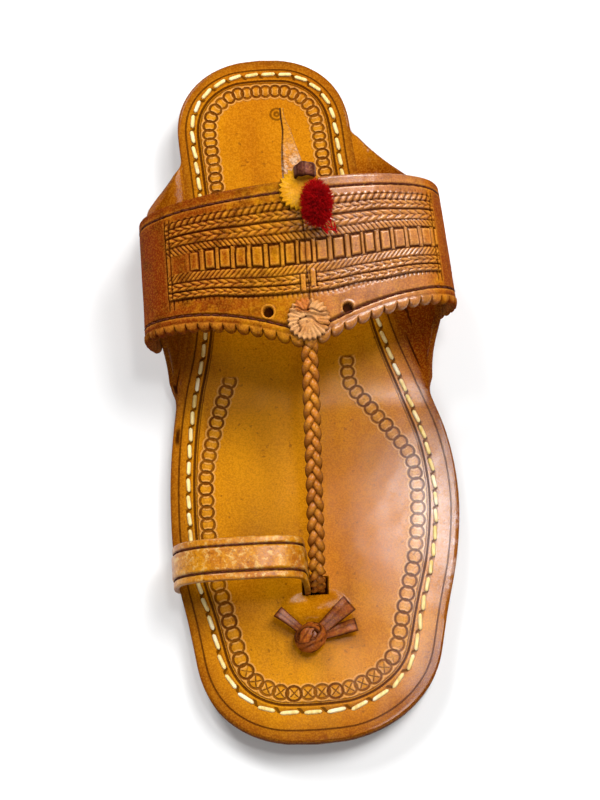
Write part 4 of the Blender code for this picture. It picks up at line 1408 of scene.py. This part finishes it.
strapLook = {
    "stations": 240,
    "width": 16.5,
    "tongue": 6.5,
    "thick": 2.2,
    "crown": 0.6,
    "at": 211.0,
    "footAt": 210.0,
    "footUp": 5.5,
    "height": 24.0,
    "square": 2.5,
    "innerSquare": 3.6,
    "footDepth": 9.0,
    "bend": 1.6,
    "bendRise": 2.6,
    "endOffset": 4.0,
    "sewn": 3.2,  # distance of both sewn lines from the edges
}


def strapLine():
    look = strapLook
    ends = np.array([look["footAt"] - look["width"] / 2, look["footAt"] + look["width"] / 2])
    footX = float(soleEdge(ends, medial).min())
    footZ = float(soleBottom(look["footAt"])) + look["footUp"]
    outerX = footX + look["thick"] / 2
    innerX = -look["endOffset"]
    baseZ = float(insoleTop(look["at"]))
    points, widths, crowns = [], [], []

    def add(x, s, z, width, crown):
        points.append((x, sole["length"] / 2 - s, z))
        widths.append(width)
        crowns.append(crown)

    for x in np.linspace(footX + look["footDepth"], outerX + look["bend"], 8):
        add(x, look["footAt"], footZ, look["width"], 0)
    for i in range(1, 9):
        angle = math.pi / 2 * i / 8
        x = outerX + look["bend"] * (1 - math.sin(angle))
        add(x, look["footAt"], footZ + look["bendRise"] * (1 - math.cos(angle)), look["width"], i / 8)
    steps = 150
    for i in range(steps):
        share = i / steps
        angle = math.pi * (1 - share)
        c = math.cos(angle)
        square = look["square"] + (look["innerSquare"] - look["square"]) * float(ease(share * 2 - 0.5))
        x = (outerX + innerX) / 2 + (innerX - outerX) / 2 * math.copysign(abs(c) ** (2 / square), c)
        z = baseZ + look["height"] * math.sin(angle) ** (2 / square)
        narrow = float(ease((share - 0.83) * 6))
        s = look["footAt"] + (look["at"] - look["footAt"]) * float(ease(share * 2))
        s += (postAt - look["at"]) * narrow
        add(x, s, z, look["width"] + (look["tongue"] - look["width"]) * narrow, 1 - 0.7 * narrow)
    for z in (2.4, 0.0, -2.4):
        add(innerX, postAt, baseZ + z, look["tongue"], 0)
    rows = np.column_stack([points, widths, crowns])
    steps = walked(rows[:, :3])
    keep = np.concatenate([[True], np.diff(steps) > 1e-6])
    at = np.linspace(0, steps[-1], look["stations"])
    rows = pick(at, steps[keep], rows[keep])
    return rows[:, :3], at, rows[:, 3], rows[:, 4]


def strapLeather():
    finish = Finish("strapLeather", specular=0.05)
    colours = leatherTints
    cloud = finish.noise(60, 4.0, 0.65)
    scuff = finish.noise(420, 5.0, 0.7)
    colour = finish.mix(cloud.step(0.35, 0.65), tint(222, 148, 4), colours["honey"])
    colour = finish.mix(scuff.step(0.46, 0.34, 0.0, 0.55), colour, tint(120, 56, 4))
    colour = finish.mix(scuff.step(0.50, 0.64, 0.0, 0.70), colour, tint(242, 202, 120))
    colour = finish.mix(finish.value("dye"), colour, colours["amber"])
    colour = finish.mix(finish.value("inner"), colour, colours["lining"])
    leatherGrain(finish, colour, finish.value("marksAndShade"), 0.7, 1.5, 0.42, scuff * 0.8)
    return finish.material


def makeStrap():
    look = strapLook
    line, at, width, crown = strapLine()
    side = np.array([0.0, 1.0, 0.0])
    out = unit(np.cross(directions(line), side))
    share = np.linspace(-0.5, 0.5, 49)
    half = look["thick"] / 2
    d = (0.5 - np.abs(share))[None] * width[:, None]  # distance from the strap's edge
    sewnAt = np.minimum(look["sewn"], width * 0.24)[:, None]
    groove = dent(d - sewnAt, 0.30, 0.45) * (width[:, None] > 9)
    panel = ease((d - sewnAt - 0.3) / 0.8)
    wander = smoothNoise(at[:, None], d, 61, 5.0)
    height = half + 0.15 + crown[:, None] * (look["crown"] * 0.75) * panel - 0.42 * groove + 0.07 * wander
    height = height - edgeDrop(d, 0.7)
    mark = dent(at - (at[-1] * 0.125), 0.15, 0.4)[:, None] * (crown[:, None] > 0.9)
    height = height - 0.2 * mark
    reach = share[None] * width[:, None]
    top = line[:, None] + side * reach[..., None] + out[:, None] * height[..., None]
    # dark sewn grooves and marks, with painted shade along the edges
    marksAndShade = [np.clip(groove * 0.95 + mark * 0.8 + 0.4 * dent(d, 0.1, 0.4), 0, 1)]
    inner = [np.zeros_like(d)]
    columns = [top]
    under = np.linspace(0.5, -0.5, 14)
    lift = np.full(14, -half)
    lift[[0, -1]] = -0.35
    lift[[1, -2]] = -half * 0.8
    under[[1, -2]] = 0.488, -0.488
    reach = under[None] * width[:, None]
    columns.append(line[:, None] + side * reach[..., None] + out[:, None] * lift[None, :, None])
    # painted shade under the strap's edges
    marksAndShade.append(np.broadcast_to(np.where(lift > -half * 0.9, 0.45, 0.1)[None], reach.shape))
    inner.append(np.broadcast_to((lift < -half * 0.9).astype(float)[None], reach.shape))
    grid = np.concatenate(columns, axis=1)
    values = {"marksAndShade": np.concatenate(marksAndShade, axis=1), "inner": np.concatenate(inner, axis=1)}
    values["dye"] = np.clip(0.12 + 0.3 * smoothNoise(grid[..., 0], grid[..., 1], 62, 8.0), 0, 1)
    piece = skin("toeStrapSkin", grid, strapLeather(), values, caps=(True, True), sharp=60)
    dress(piece, "upper")
    keep = (width > 11) & (np.arange(len(width)) > 14)
    for number, sign in enumerate((-1, 1)):
        offset = (width / 2 - np.minimum(look["sewn"], width * 0.24)) * sign
        path = (line + side * offset[:, None] + out * (half - 0.18))[keep]
        sewLine(f"strapStitches{number + 1}", path, out[keep], 3.1, 2.8, 0, 0.7)


makeStrap()
print("toe strap done")


# Leather rosettes on the band

rosetteLook = {
    "rosetteBackSkin": {
        "node": "rosette_back", "middle": (2.4, 78.5), "radius": 8.3, "seat": 0.8, "thick": 1.5,
        "teeth": 24, "toothDepth": 1.2, "pleat": 0.0, "seed": 71,
    },
    "rosetteFrontSkin": {
        "node": "rosette_front", "middle": (2.4, 126.0), "radius": 8.2, "seat": 0.3, "thick": 1.5,
        "teeth": 24, "toothDepth": 0.8, "pleat": 0.15, "seed": 72,
        "folds": (
            ((-4.6, -3.9), (0.2, -3.1)), ((0.2, -3.1), (7.6, -1.8)), ((-1.5, -1.3), (7.6, 3.8)),
            ((-3.2, 0.0), (-3.8, 4.9)), ((0.4, -3.1), (0.8, -7.6)), ((-3.2, 0.0), (-1.5, -1.3)),
        ),
    },
}


def rosetteLeather(name, first, second, stain):
    finish = Finish(name)
    cloud = finish.noise(120, 4.0, 0.6)
    nap = finish.noise(700, 3.0, 0.7)
    colour = finish.mix(cloud.step(0.35, 0.68), first, second)
    colour = finish.mix(nap.step(0.5, 0.75, 0.0, 0.4), colour, leatherTints["pale"])
    colour = finish.mix(finish.value("dye"), colour, stain)
    leatherGrain(finish, colour, finish.value("marksAndShade"), 0.2, 1.2, 0.48, nap * 0.7)
    return finish.material


def nearLine(u, v, start, end):  # 1 on a short line, 0 away from it
    du, dv = end[0] - start[0], end[1] - start[1]
    u, v = u + 0.5 * np.sin(v * 1.3), v + 0.45 * np.sin(u * 1.1)
    along = np.clip(((u - start[0]) * du + (v - start[1]) * dv) / (du**2 + dv**2), 0, 1)
    return dent(np.hypot(u - start[0] - along * du, v - start[1] - along * dv), 0.12, 0.45)


def makeRosette(name, material):
    look = rosetteLook[name]
    angle = np.linspace(0, 2 * math.pi, look["teeth"] * 14 + 1)[:-1]
    tooth = np.abs((angle / (2 * math.pi) * look["teeth"]) % 1 - 0.5) * 2
    wobble = 1 + 0.035 * smoothNoise(np.cos(angle) * 3, np.sin(angle) * 3, look["seed"], 1.3)
    reach = look["radius"] * wobble - look["toothDepth"] * (1 - tooth)
    shares = np.concatenate([[0.0], np.linspace(0.03, 0.96, 44), [0.985, 1.0]])
    fold = np.cos(angle * look["teeth"])
    columns, marksAndShade, dye = [], [], []
    for share in shares:
        u, v = reach * share * np.cos(angle), reach * share * np.sin(angle)
        x, s = look["middle"][0] + u, look["middle"][1] + v
        pleated = look["pleat"] * ease((share - 0.30) / 0.4)
        lift = look["thick"] + fold * pleated - 0.5 * ease((share - 0.95) / 0.05)
        shadow = np.clip(-fold, 0, 1) * pleated * 1.8
        if "folds" in look:
            folds = sum(nearLine(u, v, start, end) for start, end in look["folds"])
            leaf = ease((-v - 1.6 + 0.2 * u) / 1.0)
            lift = lift - 0.5 * folds + 0.9 * leaf * ease((1 - share) / 0.2)
            lift = lift + 0.4 * ease((v + 1) / 2) * (1 - leaf)
            shadow = shadow * (1 - leaf) + 0.6 * folds
            stain = leaf * ease((1.2 - u) / 1.0) * ease((u + 5.5) / 1.5)
        else:
            lift = lift + 0.35 * share**2 + 0.15 * smoothNoise(x, s, 73, 3.0)
            stain = 0.35 * ease((share - 0.4) / 0.6) * (0.5 + 0.5 * np.sin(angle + 2.2))
        columns.append(onBand(x, s, look["seat"] + lift))
        marksAndShade.append(np.clip(shadow + 0.5 * ease((share - 0.97) / 0.03), 0, 0.9))
        dye.append(stain * 0.8)
    for share in (1.0, 0.5, 0.0):  # the underside
        u, v = reach * share * np.cos(angle), reach * share * np.sin(angle)
        columns.append(onBand(look["middle"][0] + u, look["middle"][1] + v, look["seat"]))
        marksAndShade.append(np.full(len(angle), 0.6))
        dye.append(np.full(len(angle), 0.3))
    values = {"marksAndShade": np.stack(marksAndShade), "dye": np.stack(dye)}
    piece = skin(name, np.stack(columns), material, values, sharp=65)
    dress(piece, look["node"])


yellowFinish = rosetteLeather("yellowLeather", tint(224, 158, 8), tint(204, 132, 4), tint(132, 84, 4))
foldedFinish = rosetteLeather("foldedLeather", tint(224, 168, 112), tint(196, 124, 62), tint(190, 92, 8))
makeRosette("rosetteBackSkin", yellowFinish)
makeRosette("rosetteFrontSkin", foldedFinish)
print("rosettes done")


# Pointed tail over the heel, and the lace that ties the pompom

tailLook = {
    "middle": 2.4, "sideways": 5.5, "start": 86.0, "length": 41.5, "width": 10.5, "tip": 1.6,
    "droop": 4.0, "thick": 1.5,
}


def ribbonSkin(name, left, right, out, thick, material, values):
    # left, right and out hold one row for each station; values are given for the top only
    share = np.linspace(0, 1, values["marksAndShade"].shape[1])
    width = np.linalg.norm(right - left, axis=1)[:, None]
    edge = edgeDrop(np.minimum(share, 1 - share)[None] * width, 0.45)[..., None]
    across = (right - left)[:, None]
    top = left[:, None] + across * share[None, :, None] + out[:, None] * (thick - edge)
    low = left[:, None] + across * share[::-1][None, :, None] + out[:, None] * edge
    grid = np.concatenate([top, low], axis=1)
    values = {key: np.concatenate([value, value[:, ::-1]], axis=1) for key, value in values.items()}
    return skin(name, grid, material, values, caps=(True, True), sharp=60)


def tailLeather():
    finish = Finish("tailLeather")
    along = finish.value("along")
    cracks = finish.cells(620, "DISTANCE_TO_EDGE")
    white = finish.noise(380, 4.0, 0.7).step(0.42, 0.62) * along.step(0.25, 0.6)
    colour = finish.mix(along.step(0.2, 0.8), leatherTints["gold"], tint(196, 122, 60))
    colour = finish.mix(white * 0.75, colour, tint(232, 206, 176))
    leatherGrain(finish, colour, finish.value("marksAndShade"), 0.3, 1.8, 0.45, cracks * -2.0)
    return finish.material


def makeTail():
    look = tailLook
    share = np.linspace(0, 1, 90)
    s = look["start"] - look["length"] * share
    middle = look["middle"] - look["sideways"] * share + 0.25 * smoothNoise(s, s * 0, 81, 6.0)
    half = (look["width"] + (look["tip"] - look["width"]) * ease(share * 1.1 - 0.1) ** 1.6) / 2
    middle = middle + (half - 0.8) * 0.25 * share
    lift = -instep["bandThick"] - 0.3 - look["thick"]
    droop = np.stack([share * 0, share * 0, look["droop"] * share**2], axis=-1)
    left, right = onBand(middle - half, s, lift) - droop, onBand(middle + half, s, lift) - droop
    out = np.broadcast_to([0.0, 0.0, 1.0], left.shape)
    across, wide = np.linspace(0, 1, 15)[None], half[:, None] * 2
    line = dent(across * wide - 0.35, 0.15, 0.4) * 0.95 + 0.4 * dent((1 - across) * wide, 0.1, 0.4)
    values = {"marksAndShade": np.clip(line, 0, 1), "along": np.broadcast_to((1 - share)[:, None], line.shape)}
    piece = ribbonSkin("backTailSkin", left, right, out, look["thick"], tailLeather(), values)
    dress(piece, "back_tail")


def laceLeather(name, first, second):
    finish = Finish(name)
    cloud = finish.noise(150, 4.0, 0.65)
    scuff = finish.noise(500, 4.0, 0.7)
    colour = finish.mix(cloud.step(0.35, 0.65), first, second)
    colour = finish.mix(scuff.step(0.55, 0.72, 0.0, 0.5), colour, tint(196, 132, 92))
    colour = finish.mix(finish.value("dye"), colour, tint(176, 84, 20))
    leatherGrain(finish, colour, finish.value("marksAndShade"), 0.4, 1.4, 0.45, cloud * 0.8)
    return finish.material


laceFinish = laceLeather("laceLeather", tint(150, 74, 36), tint(104, 44, 22))
tieFinish = laceLeather("tieLeather", tint(140, 78, 66), tint(74, 26, 26))


tieLook = {"middle": (4.4, 72.5), "radius": (2.9, 3.2), "seat": 2.6, "half": 2.1, "thick": 1.3}


def makeTie():
    look = tieLook
    angle = np.linspace(0, math.pi, 40)
    at = look["middle"][1]
    across = look["middle"][0] - look["radius"][0] * np.cos(angle) + 0.2 * np.sin(3 * angle)
    lift = look["seat"] + look["radius"][1] * np.sin(angle) + 0.16 * np.sin(5 * angle)
    out = unit(onBand(across - np.cos(angle), at, lift + np.sin(angle)) - onBand(across, at, lift))
    half = look["half"] + 0.5 * np.sin(angle) + 0.18 * np.cos(5 * angle)
    left, right = onBand(across, at - half, lift), onBand(across, at + half, lift)
    edge = 0.8 * np.abs(np.linspace(-1, 1, 11))[None] ** 4
    # painted shade on one side of the loop and in its creases
    dark = 0.6 * ease((1.7 - angle) / 0.5)[:, None] + 0.5 * dent(np.sin(4 * angle), 0.1, 0.3)[:, None]
    values = {"marksAndShade": np.clip(edge + dark, 0, 0.95), "dye": np.zeros((40, 11))}
    piece = ribbonSkin("tieSkin", left, right, out, look["thick"], tieFinish, values)
    dress(piece, "pompom_tie")


makeTail()
makeTie()
print("tail and tie done")


# Wool pompom: a core painted dark as the shade among the fibres, under a few thousand fibres

pompomLook = {
    "middle": (7.6, 86.0), "size": (10.4, 17.0, 11.0), "seat": 2.6, "core": 0.80,
    "fibreDensity": 6.5, "fibreLength": 2.2, "fibreWidth": 0.30, "seed": 5,
}


def fibreTree():
    board, given = newTree("woolFibres", {
        "Density": "Float", "Fibre Length": "Float", "Fibre Width": "Float", "Seed": "Int",
        "Material": "Material",
    })
    seats = board.node("GeometryNodeDistributePointsOnFaces", {"distribute_method": "RANDOM"}, {
        "Mesh": given["Geometry"], "Density": given["Density"], "Seed": given["Seed"],
    })
    line = board.node("GeometryNodeCurveQuadraticBezier", None, {
        "Resolution": 4, "Start": (0, 0, -0.15), "Middle": (0.05, 0, 0.55), "End": (0.42, 0, 0.95),
    })
    along = board.node("GeometryNodeSplineParameter")
    line = board.node("GeometryNodeSetCurveRadius", None, {"Curve": line, "Radius": 1.0})
    ring = board.node("GeometryNodeCurvePrimitiveCircle", None, {"Resolution": 3, "Radius": 0.5})
    thin = (1 - along * 0.65) * given["Fibre Width"]
    strand = board.node("GeometryNodeCurveToMesh", None, {
        "Curve": line, "Profile Curve": ring, "Scale": thin, "Fill Caps": True,
    })
    turn = board.node("FunctionNodeAlignRotationToVector", {"axis": "Z"}, {"Vector": seats.other("Normal")})
    spin = board.node("FunctionNodeRandomValue", {"data_type": "FLOAT_VECTOR"}, {
        0: (-0.45, -0.45, -3.14), 1: (0.45, 0.45, 3.14), "Seed": given["Seed"],
    })
    turn = board.node("FunctionNodeRotateRotation", {"rotation_space": "LOCAL"}, {
        "Rotation": turn, "Rotate By": spin,
    })
    size = board.node("FunctionNodeRandomValue", {"data_type": "FLOAT"}, {2: 0.65, 3: 1.25, "Seed": 3}, out=1)
    laid = board.node("GeometryNodeInstanceOnPoints", None, {
        "Points": seats, "Instance": strand, "Rotation": turn, "Scale": size * given["Fibre Length"],
    })
    return endTree(board, laid, given["Material"])


def woolFinish(name, first, second):
    finish = Finish(name, roughness=0.9, specular=0.05)
    tuft = finish.noise(420, 3.0, 0.6)
    finish.give("Base Color", finish.mix(tuft.step(0.3, 0.7), first, second))
    finish.bump(tuft, 0.0004)
    return finish.material


def pompomPoint(way, reach):
    look = pompomLook
    height = np.maximum(0.0, (1 + 1.12 * way[:, 2] * reach) * look["size"][2] / 2)
    return onBand(
        look["middle"][0] + way[:, 0] * reach * look["size"][0] / 2,
        look["middle"][1] + way[:, 1] * reach * look["size"][1] / 2,
        look["seat"] + height,
    )


def pompomCoreSpots(way):
    lump = 1 + 0.07 * smoothNoise(way[:, 0] * 3, way[:, 1] * 3 + way[:, 2] * 2, 91, 0.8)
    return pompomPoint(way, pompomLook["core"] * lump)


def makePompom():
    look = pompomLook
    core = ballMesh("pompomCore", pompomCoreSpots)
    fibres = runTree("pompomFibres", fibreTree(), core.copy(), {
        "Density": look["fibreDensity"] * 1e6, "Fibre Length": look["fibreLength"] * mm,
        "Fibre Width": look["fibreWidth"] / look["fibreLength"], "Seed": look["seed"],
        "Material": woolFinish("woolFibre", leatherTints["wool"], tint(186, 10, 12)),
    })
    loose = np.linspace(0, 1, 14)
    level = np.ones(len(loose))
    way = np.stack([0.35 + 0.9 * loose, 0.75 + 0.3 * np.sin(loose * 9), -0.55 * level], axis=-1)
    points = pompomPoint(way, 1.0)
    way = np.stack([0.5 + 0.4 * np.sin(loose * 17), -0.5 + 0.3 * np.cos(loose * 23), -0.12 * level], axis=-1)
    up = np.broadcast_to([0, 0, 1.0], way.shape)
    wool = woolFinish("woolTuft", leatherTints["wool"], tint(186, 10, 12))
    dress(sewRow("pompomTuft", points, way, up, 4.2, 0.55, 0.4, 4.0, wool))
    # the core painted dark red as the shade deep among the fibres
    wool = woolFinish("woolCore", leatherTints["woolInShade"], leatherTints["wool"])
    for piece in (showPiece("pompomCore", core, wool), fibres):
        dress(piece, "pompom")


makePompom()
print("pompom done")


# Knot of the thong's strands in front of the bridge

knotLook = {
    "middle": (-4.0, 239.9), "size": 12.5, "height": 8.0, "tailLength": 14.0,
    "wraps": ((0.35, 1.25, 0.80), (-0.75, 0.55, 0.86), (1.15, -0.5, 0.74)),  # tip, swing, size
    "tails": (  # heading, length, lift, width
        (221, 1.05, 0.9, 4.2), (-37, 1.32, 1.5, 6.0), (-12, 1.22, 0.5, 4.8),
    ),
}


def makeKnot():
    look = knotLook
    x, at = look["middle"]
    floor = float(insoleTop(at)) + 0.3
    centre = place(x, at, floor + look["height"] / 2)
    turns = np.linspace(0, 2 * math.pi, 73)[:-1]
    angles = np.linspace(0, 2 * math.pi, 31)[:-1]
    px, pz = 2.6 * np.cos(angles)[None], np.sin(angles)[None]
    ballSize = np.array([look["size"], look["size"], look["height"]]) / 2
    for number, (tip, swing, size) in enumerate(look["wraps"]):
        a = np.array([math.cos(swing), math.sin(swing), 0.0])
        b = np.array([-math.sin(swing) * math.sin(tip), math.cos(swing) * math.sin(tip), math.cos(tip)])
        n = np.cross(a, b)
        spin = np.cos(turns)[:, None] * a + np.sin(turns)[:, None] * b
        path = centre + spin * ballSize * size
        crease = 1 + 0.12 * smoothNoise(turns * 4, turns * 0, 101 + number, 1.0)[:, None]
        folds = dent(np.sin(2 * angles[None] + 0.9 * np.sin(turns * 2 + number)[:, None]), 0.10, 0.45)
        folds = folds * (0.5 + 0.5 * np.sin(turns * 3 + 2 * number)[:, None] ** 2)
        lift = pz * (1 - 0.45 * folds)
        grid = path[:, None] + n * (px * crease)[..., None] + spin[:, None] * lift[..., None]
        grid[..., 2] = np.maximum(grid[..., 2], floor)
        grid = np.concatenate([grid, grid[:1]])
        folds = np.concatenate([folds, folds[:1]])
        rim = np.broadcast_to(np.abs(np.cos(angles))[None] ** 4, grid.shape[:2])
        # painted shade along the strips' edges and in their folds
        values = {"marksAndShade": np.clip(rim * 0.85 + 0.7 * folds, 0, 0.9), "dye": np.full(grid.shape[:2], 0.6)}
        piece = skin(f"knotWrap{number + 1}", grid, laceFinish, values, sharp=80)
        dress(piece, "toe_knot")

    def coreSpots(way):
        reach = 0.80 + 0.05 * smoothNoise(way[:, 0] * 4 + way[:, 2], way[:, 1] * 2, 104, 0.5)
        spots = centre + way * reach[:, None] * ballSize
        spots[:, 2] = np.maximum(spots[:, 2], floor)
        return spots

    piece = showPiece("knotCore", ballMesh("knotCore", coreSpots), laceFinish)
    dress(piece, "toe_knot")
    for number, (heading, length, rise, width) in enumerate(look["tails"]):
        heading = math.radians(heading)
        way = np.array([math.cos(heading), -math.sin(heading), 0.0])
        across = np.array([-way[1], way[0], 0.0])
        share = np.linspace(0, 1, 40)
        line = place(x, at, floor + 1.3) + way * (1.5 + share * length * look["tailLength"])[:, None]
        line[:, 2] += rise * 3.4 * np.sin(share * math.pi / 2)
        line[:, 2] += 0.3 * smoothNoise(share * 9, share * 0, 110 + number, 2.0)
        wide = width * (0.70 + 0.5 * share) / 2
        twist = 0.35 * np.sin(share * 2.4 + number)
        edge = across * np.cos(twist)[:, None] + np.array([0, 0, 1.0]) * np.sin(twist)[:, None]
        out = unit(np.cross(np.broadcast_to(way, edge.shape), edge))
        out *= np.sign(out[:, 2:3])
        left, right = line - edge * wide[:, None], line + edge * wide[:, None]
        side = np.linspace(0, 1, 13)
        # painted shade along the tails' edges and fold
        rim = np.tile(np.abs(2 * side - 1) ** 5 * 0.85, (40, 1))
        rim[-2:] = 0.7
        fold = dent(side - 0.55, 0.02, 0.06) * 0.5
        values = {"marksAndShade": np.clip(rim + fold, 0, 0.95), "dye": np.full((40, 13), 0.1)}
        piece = ribbonSkin(f"knotTail{number + 1}", left, right, out, 1.2, laceFinish, values)
        dress(piece, "toe_knot")


makeKnot()
print("knot done")
